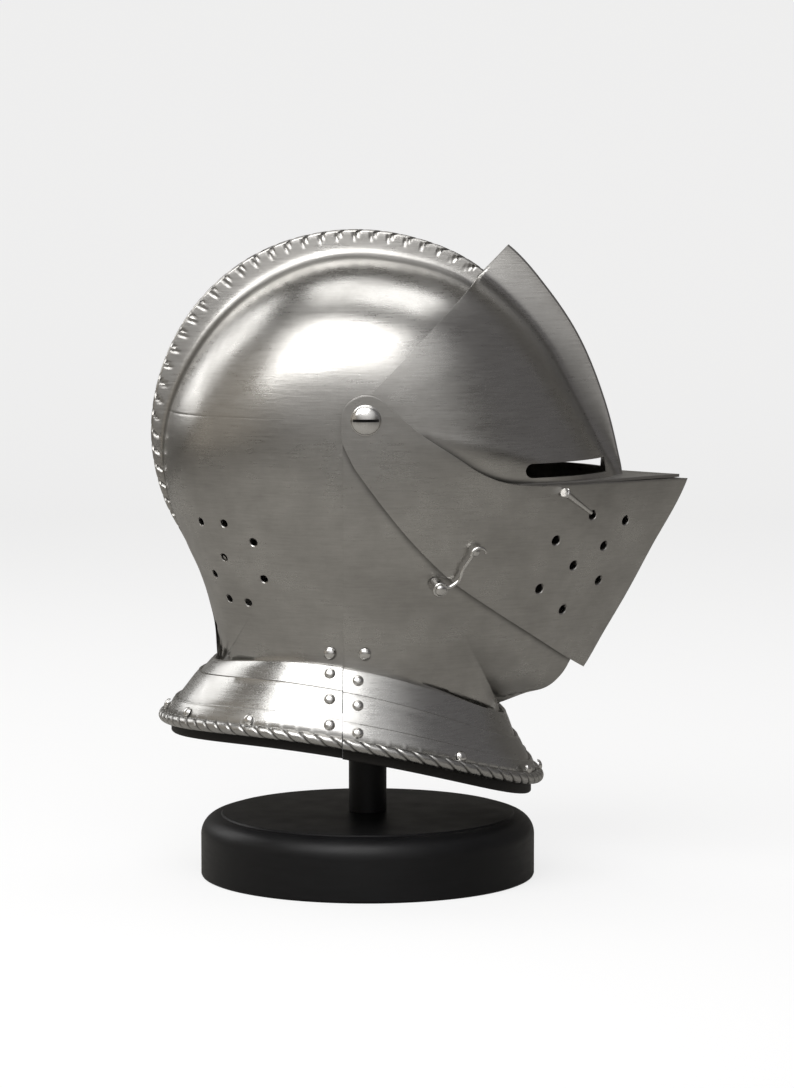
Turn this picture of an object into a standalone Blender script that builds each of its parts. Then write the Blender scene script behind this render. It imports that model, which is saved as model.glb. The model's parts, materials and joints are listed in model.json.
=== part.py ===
"""A close helmet of the sixteenth century on a plain black display stand.

Metres, +Z up. The helmet faces +X and its right side is -Y. The origin is the middle of the stand's foot.
Everything that belongs to the helmet is modelled round its pivot, the level axis through both temple screws,
and hangs from an empty on that axis. Run with: blender --background --python part.py
"""

import math
from collections import namedtuple

import bmesh
import bpy
import numpy as np
from mathutils import Matrix, Vector
from mathutils.bvhtree import BVHTree

MM = 0.001

# Stand
BASE_RADIUS = 100.5 * MM
BASE_HEIGHT = 38 * MM
BASE_SHOULDER = 12 * MM
BASE_TOP_STEP = 0.8 * MM
POST_RADIUS = 11.4 * MM
CAP_RADIUS = 32 * MM
CAP_DOME = 9 * MM
CAP_EDGE = 6 * MM

# Plates and the play between them
PIVOT_HEIGHT = 280 * MM
SKULL_HALF_WIDTH = 98 * MM
WALL = 1.6 * MM
PLAY = 1.0 * MM
SEAT_GAP = 0.3 * MM
LAYER = WALL + PLAY
BEVOR_EASE = 0.6 * MM
BEVOR_OUT = LAYER + BEVOR_EASE

# Reach of each plate from the pivot axis, in the middle plane
SKULL_REACH = 130 * MM
VISOR_PROUD = 26 * MM
VENTAIL_PROUD = 66 * MM
BEVOR_PROUD = 63 * MM
VISOR_REACH = SKULL_REACH + VISOR_PROUD
VENTAIL_REACH = SKULL_REACH + VENTAIL_PROUD
BEVOR_REACH = SKULL_REACH + BEVOR_PROUD

# Comb and fin
COMB_BASE = 10 * MM
COMB_CREST = 6 * MM
COMB_FROM = 34
COMB_TO = 217
COMB_PITCH = 11.1 * MM
NOTCH_DEPTH = 2.4 * MM
FIN_BASE = 17 * MM
FIN_CREST = 5 * MM

# Pivot screws
SHANK_RADIUS = 3.0 * MM
PIVOT_HOLE_RADIUS = 3.5 * MM
SCREW_HEAD_RADIUS = 8.8 * MM
SCREW_HEAD_HEIGHT = 4.6 * MM
SCREW_SLOT = 1.6 * MM
SCREW_NUT_RADIUS = 6 * MM
SCREW_NUT_HEIGHT = 3 * MM
EAR_RADIUS = 14.2 * MM
INNER_EAR_RADIUS = 12.6 * MM
BEVOR_EAR_END = 177

# Edges of the plates, seen from the side
SEAM_X = -13.7 * MM
SKULL_FOOT_FRONT = 26 * MM
REAR_FROM = 180
SEAM_GAP = 0.6 * MM
VISOR_LAP = 8 * MM
LEDGE_WALL = 1.8 * MM
LEDGE_LENGTH = 114 * MM
LEDGE_RISE = 0.8 * MM

# Sight and breathing holes
SIGHT_LENGTH = 49 * MM
SIGHT_INSET = 15 * MM
SIGHT_SILL = 3.1 * MM
SIGHT_HEIGHT = 8.4 * MM
SIGHT_CORNER = 2 * MM
BREATH_RADIUS = 2.9 * MM
VENT_RADIUS = 2.4 * MM

# Lames, rope rim and lining
LAME_WALL = 1.6 * MM
LAME_PLAY = 0.5 * MM
LAME_STEP = LAME_WALL + LAME_PLAY
LAME_LAP = 0.3
NECK_PLAY = 0.9 * MM
NECK_LAP = 8 * MM
NECK_COLLAR = 12 * MM
ROPE_RADIUS = 3.5 * MM
ROPE_PITCH = 9 * MM
ROPE_DEPTH = 0.9 * MM
ROPE_LEAN = 5 * MM
ROPE_ROOT = 1.2 * MM
LINING_WALL = 2 * MM
LINING_DROP = 9.5 * MM

# Rivets, hook and peg
RIVET_RADIUS = 3.3 * MM
BIG_RIVET_RADIUS = 3.7 * MM
RIVET_HEIGHT = 2.0 * MM
HOOK_SWING = 90
VENTAIL_SWING = 20
HOOK_WIRE = 0.9 * MM
HOOK_DISC_RADIUS = 4.6 * MM
HOOK_DISC_HEIGHT = 2.0 * MM
HOOK_STANDOFF = 3.4 * MM
HOOK_WAIST = 3.8 * MM
HOOK_RIVET_FOOT = 4.2 * MM
STUD_RADIUS = 2.6 * MM
STUD_CURL = 4.6 * MM
STUD_HEIGHT = 2.0 * MM
PEG_ROOT_RADIUS = 2.1 * MM
PEG_TIP_RADIUS = 1.2 * MM
PEG_COLLAR_RADIUS = 3.1 * MM
PEG_COLLAR_LENGTH = 2.2 * MM

# How finely the curved plates are cut
FAN_ROWS = 7
MEDIAL_STEP = 12
CHIN_STEP = 5
NECK_STEP = 12
LAME_STEPS = 14
HOLE_SIDES = 8
RIVET_SIDES = 8
BASE_SIDES = 32

STEEL = (0.42, 0.42, 0.43)
BRIGHT_STEEL = (0.60, 0.60, 0.60)
BLACK_WOOD = (0.012, 0.012, 0.013)
BLACK_LEATHER = (0.02, 0.018, 0.017)

# Middle-plane outlines round the pivot: degrees above straight ahead, then shares of the plate's reach.
# blunt rounds the section at the middle plane (1 is a keel), and ogee hollows it towards the neck.
Medial = namedtuple("Medial", "angle bowl crest blunt ogee")
SKULL_OUTLINE = (
    Medial(-62, 1.150, 1.150, 2.2, 0.6),
    Medial(-20, 0.880, 0.880, 2.2, 0.1),
    Medial(20, 0.762, 0.830, 2.2, 0.0),
    Medial(48, 0.742, 0.838, 2.2, 0.0),
    Medial(77, 0.697, 0.823, 2.2, 0.0),
    Medial(104, 0.710, 0.844, 2.2, 0.0),
    Medial(132, 0.746, 0.895, 2.2, 0.0),
    Medial(161, 0.823, 0.952, 2.2, 0.0),
    Medial(189, 0.942, 1.006, 2.2, 0.0),
    Medial(203, 0.993, 1.022, 2.2, 0.0),
    Medial(217, 1.034, 1.036, 2.2, 0.0),
    Medial(224, 1.072, 1.072, 2.2, 0.08),
    Medial(229.7, 1.133, 1.133, 2.2, 0.18),
    Medial(235.3, 1.233, 1.233, 2.2, 0.30),
    Medial(238.6, 1.332, 1.332, 2.2, 0.37),
)
BEVOR_OUTLINE = (
    Medial(-66.0, 1.000, 1.000, 1.60, 0.15),
    Medial(-60.8, 1.010, 1.010, 1.30, 0.08),
    Medial(-57.0, 1.028, 1.028, 1.15, 0.05),
    Medial(-53.5, 1.020, 1.020, 1.1, 0.0),
    Medial(-50, 0.995, 0.995, 1.0, 0.0),
    Medial(-44, 0.962, 0.962, 1.0, 0.0),
    Medial(-30, 0.930, 0.930, 1.0, 0.0),
    Medial(0, 0.900, 0.900, 1.3, 0.0),
    Medial(60, 0.800, 0.800, 2.0, 0.0),
    Medial(120, 0.700, 0.700, 2.2, 0.0),
    Medial(180, 0.600, 0.600, 2.2, 0.0),
)
VENTAIL_OUTLINE = (
    Medial(-110, 1.200, 1.200, 1.3, 0.0),
    Medial(-66, 1.110, 1.110, 1.0, 0.0),
    Medial(-49.7, 1.028, 1.028, 1.0, 0.0),
    Medial(-43.8, 0.996, 0.996, 1.0, 0.0),
    Medial(-35, 0.971, 0.971, 1.0, 0.0),
    Medial(-26.2, 0.964, 0.964, 1.0, 0.0),
    Medial(-11.7, 1.001, 1.001, 0.82, 0.0),
    Medial(10, 1.050, 1.050, 0.9, 0.0),
    Medial(90, 0.900, 0.900, 2.0, 0.0),
    Medial(180, 0.900, 0.900, 2.0, 0.0),
    Medial(250, 1.200, 1.200, 1.3, 0.0),
)
VISOR_OUTLINE = (
    Medial(-80, 0.970, 0.990, 1.4, 0.0),
    Medial(-30, 0.970, 0.990, 1.4, 0.0),
    Medial(-14, 0.972, 1.001, 1.5, 0.0),
    Medial(-9, 0.905, 0.966, 1.55, 0.0),
    Medial(2.5, 0.800, 0.905, 1.7, 0.0),
    Medial(21.5, 0.717, 0.848, 1.9, 0.0),
    Medial(34, 0.683, 0.827, 2.1, 0.0),
    Medial(49, 0.659, 0.826, 2.2, 0.0),
    Medial(90, 0.640, 0.780, 2.2, 0.0),
    Medial(180, 0.800, 0.900, 2.2, 0.0),
    Medial(280, 0.970, 0.990, 1.4, 0.0),
)
FLATNESS = 2.5
OGEE_LATE = 1.7
NECK_EASE = 1.3

# Rings of the neck: the foot of the skull and bevor, the tops of lames 2 and 3, and the middle of the rope.
# half_width is a share of the skull's half width, the rest are shares of its reach, from the pivot.
Ring = namedtuple("Ring", "front rear half_width front_z rear_z side_z")
RING_SHARES = (
    Ring(0.598, -0.696, 0.745, -1.392, -1.138, -1.127),
    Ring(0.673, -0.781, 0.857, -1.503, -1.194, -1.225),
    Ring(0.738, -0.892, 0.959, -1.608, -1.318, -1.342),
    Ring(0.765, -0.940, 1.015, -1.688, -1.402, -1.437),
)

# Edges in the side view, as points (forward, up) from the pivot, in shares of the plate's own reach
VENTAIL_TOP = ((0.168, -0.048), (0.265, -0.111), (0.337, -0.158), (0.408, -0.187), (0.485, -0.198),
               (0.571, -0.201), (0.719, -0.203), (0.980, -0.207))
VENTAIL_FOOT = ((0.663, -0.787), (0.605, -0.745), (0.482, -0.651), (0.381, -0.577), (0.255, -0.482),
                (0.169, -0.397), (0.102, -0.321), (0.032, -0.231), (-0.035, -0.139))
VISOR_REAR = ((0.008, 0.083), (0.533, 0.628))
BEVOR_TOP = ((0.062, -0.047), (0.155, -0.171), (0.311, -0.373), (0.466, -0.549), (0.611, -0.663),
             (0.725, -0.720))
SKULL_FRONT = ((0.046, -1.231), (0.046, -0.538), (0.069, -0.308), (0.138, -0.123), (0.246, 0.031),
               (0.400, 0.154), (0.600, 0.246), (0.862, 0.323))

# Holes in the side view, in shares of the ventail's and the skull's reach
BREATHS = ((0.676, -0.299), (0.781, -0.324), (0.564, -0.370), (0.714, -0.398), (0.620, -0.452),
           (0.701, -0.507), (0.516, -0.517), (0.590, -0.589))
VENTS = ((-0.746, -0.477), (-0.638, -0.477), (-0.505, -0.558), (-0.642, -0.638), (-0.689, -0.723),
         (-0.460, -0.728), (-0.623, -0.834), (-0.535, -0.845))

# Rivets beside the seam, how far from it, and their levels among the neck's rings
SEAM_RIVET_BEHIND = 7.6 * MM
SEAM_RIVET_BEFORE = 8.8 * MM
BEVOR_RIVET_BEFORE = 12.8 * MM
SKULL_RIVET_RISE = 8.8 * MM
REAR_RIVET_LEVELS = (1.38, 2.38, 3.30)
FRONT_RIVET_LEVELS = (1.45, 2.40, 3.42)
FRONT_LINING_ANGLES = (0, 22, 54)
REAR_LINING_ANGLES = (122, 151, 180)
LINING_RIVET_LEVEL = 3.52

# Places in the side view: the hook's rivet in shares of the bevor's reach, the rest of the ventail's
HOOK_AT = (0.205, -0.495)
STUD_AT = (0.321, -0.393)
PEG_FROM = (0.574, -0.219)
PEG_TO = (0.666, -0.291)


def start_scene():
    """Empty the scene and make the two collections and the pivot empty."""
    for old in list(bpy.data.objects):
        bpy.data.objects.remove(old)
    for name in ("close_helmet", "close_helmet_cutters"):
        bpy.context.scene.collection.children.link(bpy.data.collections.new(name))
    pivot = bpy.data.objects.new("pivot_axis", None)
    pivot.location = (0, 0, PIVOT_HEIGHT)
    bpy.data.collections["close_helmet"].objects.link(pivot)
    return pivot


def material(name, colour, roughness, metallic):
    """A plain Principled material."""
    made = bpy.data.materials.new(name)
    made.use_nodes = True
    shader = made.node_tree.nodes["Principled BSDF"]
    shader.inputs["Base Color"].default_value = (*colour, 1)
    shader.inputs["Roughness"].default_value = roughness
    shader.inputs["Metallic"].default_value = metallic
    return made


def add_object(name, mesh, parent=None, colour=STEEL, roughness=0.3, metallic=1.0):
    """Link a mesh as one piece of the helmet, with its own material."""
    piece = bpy.data.objects.new(name, mesh)
    bpy.data.collections["close_helmet"].objects.link(piece)
    piece.parent = parent
    if mesh.materials:
        mesh.materials.clear()
    mesh.materials.append(material(name, colour, roughness, metallic))
    mesh.shade_smooth()
    mesh.set_sharp_from_angle(angle=math.radians(35))
    return piece


def add_cutter(name, mesh, parent=None):
    """Link a mesh that only cuts or joins."""
    cutter = bpy.data.objects.new(name, mesh)
    bpy.data.collections["close_helmet_cutters"].objects.link(cutter)
    cutter.parent = parent
    cutter.hide_render = True
    cutter.display_type = "WIRE"
    return cutter


def combine(piece, cutter, operation):
    """Cut, join or trim a piece by another mesh."""
    change = piece.modifiers.new(operation.lower() + "_" + cutter.name, "BOOLEAN")
    change.operation = operation
    change.object = cutter
    change.solver = "EXACT"


def new_mesh(name, points, faces):
    """A mesh from arrays of points and faces."""
    mesh = bpy.data.meshes.new(name)
    mesh.from_pydata([tuple(map(float, point)) for point in points], [], [tuple(face) for face in faces])
    mesh.validate()
    return mesh


def smooth(rows, value, column):
    """Read a column of a table at any angle, on a smooth curve through its rows."""
    keys = np.array([row[0] for row in rows], float)
    values = np.array([getattr(row, column) for row in rows], float)
    slopes = np.gradient(values, keys)
    i = int(np.clip(np.searchsorted(keys, value) - 1, 0, len(keys) - 2))
    width = keys[i + 1] - keys[i]
    t = np.clip((value - keys[i]) / width, 0, 1)
    return float(
        (2 * t**3 - 3 * t**2 + 1) * values[i]
        + (t**3 - 2 * t**2 + t) * width * slopes[i]
        + (3 * t**2 - 2 * t**3) * values[i + 1]
        + (t**3 - t**2) * width * slopes[i + 1]
    )


def through(points, scale, steps=2):
    """A smooth open line through a few points given in shares of a size, as a list of points in metres."""
    p = np.array(points, float) * scale
    ends = np.vstack([2 * p[0] - p[1], p, 2 * p[-1] - p[-2]])
    line = []
    for i in range(1, len(ends) - 2):
        a, b, c, d = ends[i - 1 : i + 3]
        square = 2 * a - 5 * b + 4 * c - d
        cube = 3 * b - a - 3 * c + d
        for t in np.arange(steps) / steps:
            line.append(0.5 * (2 * b + (c - a) * t + square * t**2 + cube * t**3))
    line.append(p[-1])
    return [tuple(point) for point in line]


def arc(radius, start, end, steps):
    """Points of an arc round the pivot, angles in degrees."""
    angles = np.radians(np.linspace(start, end, steps + 1))
    return [(radius * math.cos(a), radius * math.sin(a)) for a in angles]


def prism(name, outline, half_depth, parent):
    """A cutter: a side-view outline carried from side to side."""
    bm = bmesh.new()
    face = bm.faces.new([bm.verts.new((x, -half_depth, z)) for x, z in outline])
    moved = bmesh.ops.extrude_face_region(bm, geom=[face])
    for corner in moved["geom"]:
        if isinstance(corner, bmesh.types.BMVert):
            corner.co.y = half_depth
    bmesh.ops.recalc_face_normals(bm, faces=bm.faces)
    mesh = bpy.data.meshes.new(name)
    bm.to_mesh(mesh)
    bm.free()
    return add_cutter(name, mesh, parent)


Spoke = namedtuple("Spoke", "x z y blunt ogee crest collar")


def medial_spoke(rows, reach, angle):
    """The spoke from the pivot to the middle plane at an angle, with the crest's height over the bowl."""
    radius = reach * smooth(rows, angle, "bowl")
    rise = reach * (smooth(rows, angle, "crest") - smooth(rows, angle, "bowl"))
    turn = math.radians(angle)
    return Spoke(
        radius * math.cos(turn), radius * math.sin(turn), 0.0,
        smooth(rows, angle, "blunt"), smooth(rows, angle, "ogee"), rise, 0.0,
    )


def neck_rings():
    """The neck's rings in metres; the first lame stands just outside the foot of the skull and bevor."""
    sizes = Ring(*[SKULL_REACH] * len(Ring._fields))._replace(half_width=SKULL_HALF_WIDTH)
    foot, *rest = [Ring(*(share * size for share, size in zip(row, sizes))) for row in RING_SHARES]
    out = LAME_WALL + NECK_PLAY
    first = foot._replace(front=foot.front + out, rear=foot.rear - out, half_width=foot.half_width + out)
    return [foot, first, *rest]


RINGS = neck_rings()


def ring_at(level):
    """The neck ring at a level, straight between two of the neck's rings."""
    i = min(int(level), len(RINGS) - 2)
    t = level - i
    return Ring(*(a + (b - a) * t for a, b in zip(RINGS[i], RINGS[i + 1])))


def ring_angle(level, out, x):
    """The angle round a ring, from straight ahead, where it is at x."""
    ring = ring_at(level)
    middle = (ring.front + ring.rear) / 2
    return math.acos((x - middle) / ((ring.front - ring.rear) / 2 + out))


def ring_point(level, out, drop, angle, side=-1):
    """A point of a neck ring: an ellipse in plan, tilted forward and arched up at the sides."""
    ring = ring_at(level)
    middle = (ring.front + ring.rear) / 2
    half_length = (ring.front - ring.rear) / 2
    mean = (ring.front_z + ring.rear_z) / 2
    tilt = (ring.rear_z - ring.front_z) / 2
    cos, sin = math.cos(angle), math.sin(angle)
    height = mean - tilt * cos + (ring.side_z - mean) * sin**2
    return (middle + (half_length + out) * cos, side * (ring.half_width + out) * sin, height + drop)


def neck_spoke(out, angle, blunt, corner_ogee):
    """The spoke from the pivot to the foot of the skull or the bevor, inside the first lame."""
    x, y, z = ring_point(0, out, -NECK_LAP, angle)
    share = min(abs(y) / (RINGS[0].half_width + out), 1)
    ogee = corner_ogee + (1 - corner_ogee) * share**NECK_EASE
    return Spoke(x, z, y, blunt, ogee, 0.0, NECK_COLLAR)


def fan(name, spokes, half_width, fin, colour, parent):
    """A half shell on the right side: spokes from the pivot hole to the plate's outline, and a fin past it.

    Along a spoke the half width falls from the pivot as a flattened dome, or as an ogee towards the neck.
    """
    shares = np.sin(np.radians(90) * np.arange(1, FAN_ROWS + 1) / FAN_ROWS)
    points = []
    for spoke in spokes:
        length = math.hypot(spoke.x, spoke.z)
        hole = PIVOT_HOLE_RADIUS / length
        for share in (hole, *(hole + (1 - hole) * shares)):
            base = FIN_BASE / 2 if fin else 0.0
            run = min(share * length / (length - spoke.collar), 1.0)
            dome = (1 - run**FLATNESS) ** (1 / spoke.blunt)
            ogee = (1 + math.cos(math.pi * run**OGEE_LATE)) / 2
            end = -spoke.y if not fin else base
            y = end + (half_width - end) * ((1 - spoke.ogee) * dome + spoke.ogee * ogee)
            points.append((spoke.x * share, -y, spoke.z * share))
        if fin:
            for rise, width in ((0.45, 0.62), (1.0, 1.0)):
                grow = 1 + spoke.crest * rise / length
                half = FIN_BASE / 2 + (FIN_CREST / 2 - FIN_BASE / 2) * width
                points.append((spoke.x * grow, -half, spoke.z * grow))
            grow = 1 + (spoke.crest + FIN_CREST / 6) / length
            points.append((spoke.x * grow, 0.0, spoke.z * grow))
    rows = len(points) // len(spokes)
    faces = []
    for i in range(len(spokes)):
        j = (i + 1) % len(spokes)
        for k in range(rows - 1):
            faces.append((i * rows + k, i * rows + k + 1, j * rows + k + 1, j * rows + k))
    piece = add_object(name, new_mesh(name, points, faces), parent, colour)
    mirror = piece.modifiers.new("mirror", "MIRROR")
    mirror.use_axis = (False, True, False)
    mirror.merge_threshold = 0.00005
    shell = piece.modifiers.new("wall", "SOLIDIFY")
    shell.thickness = WALL
    shell.offset = -1
    shell.use_even_offset = True
    return piece


def loft(name, sections, closed=False):
    """A solid through sections of equally many points, with flat ends unless it closes on itself."""
    count = len(sections[0])
    points = [point for section in sections for point in section]
    faces = []
    last = len(sections) if closed else len(sections) - 1
    for i in range(last):
        j = (i + 1) % len(sections)
        for k in range(count):
            m = (k + 1) % count
            faces.append((i * count + k, i * count + m, j * count + m, j * count + k))
    if not closed:
        faces.append(tuple(range(count))[::-1])
        faces.append(tuple(range((len(sections) - 1) * count, len(sections) * count)))
    mesh = new_mesh(name, points, faces)
    bm = bmesh.new()
    bm.from_mesh(mesh)
    bmesh.ops.recalc_face_normals(bm, faces=bm.faces)
    bm.to_mesh(mesh)
    bm.free()
    return mesh


def turned(name, profile, steps, parent=None, **look):
    """A turned piece: a profile of (radius, height), top to bottom, spun about Z."""
    mesh = bpy.data.meshes.new(name)
    edges = [(i, i + 1) for i in range(len(profile) - 1)]
    mesh.from_pydata([(radius, 0, height) for radius, height in profile], edges, [])
    piece = add_object(name, mesh, parent, **look)
    screw = piece.modifiers.new("turn", "SCREW")
    screw.angle = 2 * math.pi
    screw.steps = steps
    screw.render_steps = steps
    screw.use_merge_vertices = True
    screw.merge_threshold = 0.00001
    return piece


def surface(piece):
    """A piece's finished surface, for finding places on it, in its own frame."""
    bpy.context.view_layer.update()
    return BVHTree.FromObject(piece, bpy.context.evaluated_depsgraph_get())


def side_hit(tree, x, z, side=-1):
    """Where a level line from one side meets a surface, and the normal there."""
    place, normal, _, _ = tree.ray_cast(Vector((x, side * 0.3, z)), Vector((0, -side, 0)))
    return place, normal


def facing(place, normal, lift):
    """A frame standing on a surface: Z along its normal, X as level as it can be."""
    level = Vector((0, 0, 1)).cross(normal).normalized()
    up = normal.cross(level)
    frame = Matrix((level, up, normal)).transposed().to_4x4()
    frame.translation = place + normal * lift
    return frame


def seat(tree, place, normal, radius):
    """A frame for a flat round foot that stands clear of the whole surface under it by the seat gap."""
    frame = facing(place, normal, 0.0)
    lift = 0.0
    for turn in np.linspace(0, 2 * math.pi, 9)[:-1]:
        above = frame @ Vector((radius * math.cos(turn), radius * math.sin(turn), 5 * WALL))
        hit, _, _, _ = tree.ray_cast(above, -normal, 10 * WALL)
        if hit:
            lift = max(lift, (hit - place).dot(normal))
    return facing(place, normal, lift + SEAT_GAP)


def height_over(tree, frame, x, y):
    """How high a surface stands in a frame, over a point of the frame's floor."""
    above = frame @ Vector((x, y, 0.05))
    down = (frame @ Vector((x, y, 0))) - above
    hit, _, _, _ = tree.ray_cast(above, down.normalized(), 0.1)
    return (frame.inverted() @ hit).z if hit else -1.0


def neck_spokes(out, first_angle, last_angle, blunt, corner_ogee):
    """Spokes to the neck ring between two angles round it, in degrees."""
    steps = max(2, round(abs(last_angle - first_angle) / NECK_STEP))
    return [
        neck_spoke(out, math.radians(angle), blunt, corner_ogee)
        for angle in np.linspace(first_angle, last_angle, steps + 1)
    ]


def medial_spokes(rows, reach, start, end, stride=MEDIAL_STEP):
    """Spokes to the middle plane between two angles, leaving out the last."""
    steps = round((end - start) / stride)
    return [medial_spoke(rows, reach, angle) for angle in np.linspace(start, end, steps + 1)[:-1]]


def rear_spokes(out):
    """The spokes that the skull and the bevor share: behind the pivot and down to the neck at its sides."""
    rear = SKULL_OUTLINE[-1].angle
    reach = SKULL_REACH + out
    spokes = medial_spokes(SKULL_OUTLINE, reach, REAR_FROM, rear)
    spokes.append(medial_spoke(SKULL_OUTLINE, reach, rear))
    last = math.degrees(ring_angle(0, 0, SKULL_FOOT_FRONT))
    return spokes + neck_spokes(out, 180, last, 2.2, SKULL_OUTLINE[-1].ogee)[1:]


def comb_sections():
    """Sections of the skull's comb from front to back, with slanting notches along its crest."""
    length = math.radians(COMB_TO - COMB_FROM) * SKULL_REACH * 0.9
    notches = round(length / COMB_PITCH)
    sections = []
    for step in range(2 * notches + 1):
        angle = COMB_FROM + (COMB_TO - COMB_FROM) * step / (2 * notches)
        notch = NOTCH_DEPTH if step % 2 else 0.0
        bowl = SKULL_REACH * smooth(SKULL_OUTLINE, angle, "bowl")
        crest = SKULL_REACH * smooth(SKULL_OUTLINE, angle, "crest")
        rise = max(crest - bowl, 0.6 * WALL)
        lean = math.degrees(COMB_PITCH * 0.4 / crest) * min(1, (COMB_TO - angle) / 12)
        lower = min(notch, rise * 0.3)
        rows = (
            (bowl - 0.75 * WALL, COMB_BASE / 2, 0.0),
            (bowl + rise - COMB_CREST * 0.3 - 0.6 * lower, COMB_CREST / 2, 0.25 * lean),
            (bowl + rise - lower, 0.0, -lean),
        )
        ring = [(radius, -half, shift) for radius, half, shift in rows]
        ring += [(radius, half, shift) for radius, half, shift in rows[-2::-1]]
        sections.append([
            (
                radius * math.cos(math.radians(angle + shift)),
                side,
                radius * math.sin(math.radians(angle + shift)),
            )
            for radius, side, shift in ring
        ])
    return sections


def drill(piece, name, spots, reach, radius, parent):
    """Holes square to a plate, on both of its sides, at spots given in shares of its reach."""
    tree = surface(piece)
    bm = bmesh.new()
    for x, z in spots:
        for side in (-1, 1):
            place, normal = side_hit(tree, x * reach, z * reach, side)
            bmesh.ops.create_cone(
                bm, cap_ends=True, segments=HOLE_SIDES, radius1=radius, radius2=radius, depth=8 * WALL,
                matrix=facing(place, normal, 0.0),
            )
    mesh = bpy.data.meshes.new(name)
    bm.to_mesh(mesh)
    bm.free()
    combine(piece, add_cutter(name, mesh, parent), "DIFFERENCE")


def make_skull(pivot):
    """The skull: bowl, comb and vents, open in front and at the neck."""
    spokes = medial_spokes(SKULL_OUTLINE, SKULL_REACH, SKULL_OUTLINE[0].angle, REAR_FROM) + rear_spokes(0.0)
    skull = fan("skull", spokes, SKULL_HALF_WIDTH, False, STEEL, pivot)
    combine(skull, add_cutter("comb", loft("comb", comb_sections()), pivot), "UNION")
    far = 3 * SKULL_REACH
    outline = through(SKULL_FRONT, SKULL_REACH)
    outline += [(far, outline[-1][1]), (far, far), (-far, far), (-far, -far), (outline[0][0], -far)]
    combine(skull, prism("skull_outline", outline, far, pivot), "INTERSECT")
    drill(skull, "vents", VENTS, SKULL_REACH, VENT_RADIUS, pivot)
    return skull


def make_bevor(pivot):
    """The bevor: chin and throat, with ears on the pivot outside the skull's."""
    first = BEVOR_OUTLINE[0]
    spokes = medial_spokes(BEVOR_OUTLINE, BEVOR_REACH, first.angle, -44, CHIN_STEP)
    spokes += medial_spokes(BEVOR_OUTLINE, BEVOR_REACH, -44, REAR_FROM) + rear_spokes(BEVOR_OUT)
    last = math.degrees(ring_angle(0, 0, SKULL_FOOT_FRONT))
    throat = neck_spokes(BEVOR_OUT, last, 0, first.blunt, first.ogee)[1:-1]
    for spoke in throat:
        share = 1 - min(abs(spoke.y) / RINGS[0].half_width, 1)
        spokes.append(spoke._replace(blunt=2.2 + (first.blunt - 2.2) * share))
    bevor = fan("bevor", spokes, SKULL_HALF_WIDTH + LAYER, False, STEEL, pivot)
    far = 3 * SKULL_REACH
    top = through(BEVOR_TOP, BEVOR_REACH)
    outline = arc(INNER_EAR_RADIUS, math.degrees(math.atan2(top[0][1], top[0][0])), BEVOR_EAR_END, 12)
    outline += [(SEAM_X, -0.4 * EAR_RADIUS), (SEAM_X, -far), (far, -far), (far, top[-1][1])] + top[:0:-1]
    combine(bevor, prism("bevor_outline", outline, far, pivot), "INTERSECT")
    return bevor


def ledge_mesh(visor_tree, ventail_tree, top):
    """A level plate from the visor's wall out to the ventail's, ending at a point in its prow."""
    outer, inner = [], []
    for x in np.linspace(VENTAIL_REACH - LEDGE_LENGTH, VENTAIL_REACH, 20):
        place, normal = side_hit(ventail_tree, x, top - LEDGE_WALL - LEDGE_RISE)
        across = -place.y - (WALL + PLAY) / abs(normal.y) if place else 0.0
        if across <= 2 * MM:
            break
        outer.append((x, across))
        place, normal = side_hit(visor_tree, x, top)
        if place and -place.y > FIN_BASE / 2:
            inner.append((x, -place.y - 1.3 * WALL / abs(normal.y)))
    (x0, y0), (x1, y1) = outer[-2:]
    outer.append((x1 + y1 * (x1 - x0) / (y0 - y1), 0.0))
    inner.append((inner[-1][0] + 2 * MM, 0.0))
    half = outer[:-1]
    loop = [(x, -y) for x, y in outer] + half[::-1] + inner[:-1] + [(x, -y) for x, y in inner[::-1]]
    count = len(loop)
    points = [(x, y, top - LEDGE_WALL) for x, y in loop] + [(x, y, top) for x, y in loop]
    faces = [tuple(range(count))[::-1], tuple(range(count, 2 * count))]
    faces += [(k, (k + 1) % count, count + (k + 1) % count, count + k) for k in range(count)]
    return new_mesh("ledge", points, faces)


def make_visor(ventail, pivot):
    """The visor: brow and fin, a sight on each side and a ledge that closes onto the ventail."""
    spokes = medial_spokes(VISOR_OUTLINE, VISOR_REACH, VISOR_OUTLINE[0].angle, VISOR_OUTLINE[-1].angle)
    visor = fan("visor", spokes, SKULL_HALF_WIDTH + 2 * LAYER, True, STEEL, pivot)
    far = 3 * SKULL_REACH
    edge = through(VENTAIL_TOP, VENTAIL_REACH)
    foot = [(x, z - VISOR_LAP) for x, z in edge]
    (x0, z0), (x1, z1) = ((x * VISOR_REACH, z * VISOR_REACH) for x, z in VISOR_REAR)
    slope = math.atan2(z1 - z0, x1 - x0)
    lower = math.atan2(foot[0][1], foot[0][0])
    outline = arc(INNER_EAR_RADIUS, math.degrees(slope) + 90, math.degrees(lower) + 360, 10) + foot
    outline += [(far, foot[-1][1]), (far, z1 + (far - x1) * math.tan(slope))]
    combine(visor, prism("visor_outline", outline, far, pivot), "INTERSECT")
    ledge_top = VENTAIL_TOP[4][1] * VENTAIL_REACH + LEDGE_RISE
    front = VISOR_REACH - SIGHT_INSET
    rear = front - SIGHT_LENGTH
    low = ledge_top + SIGHT_SILL
    high = low + SIGHT_HEIGHT
    sight = [(front, low), (front, high), (rear + SIGHT_CORNER, high), (rear, high - SIGHT_CORNER),
             (rear, low + SIGHT_CORNER), (rear + SIGHT_CORNER, low)]
    combine(visor, prism("sights", sight, far, pivot), "DIFFERENCE")
    ledge = ledge_mesh(surface(visor), surface(ventail), ledge_top)
    combine(visor, add_cutter("ledge", ledge, pivot), "UNION")


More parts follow.
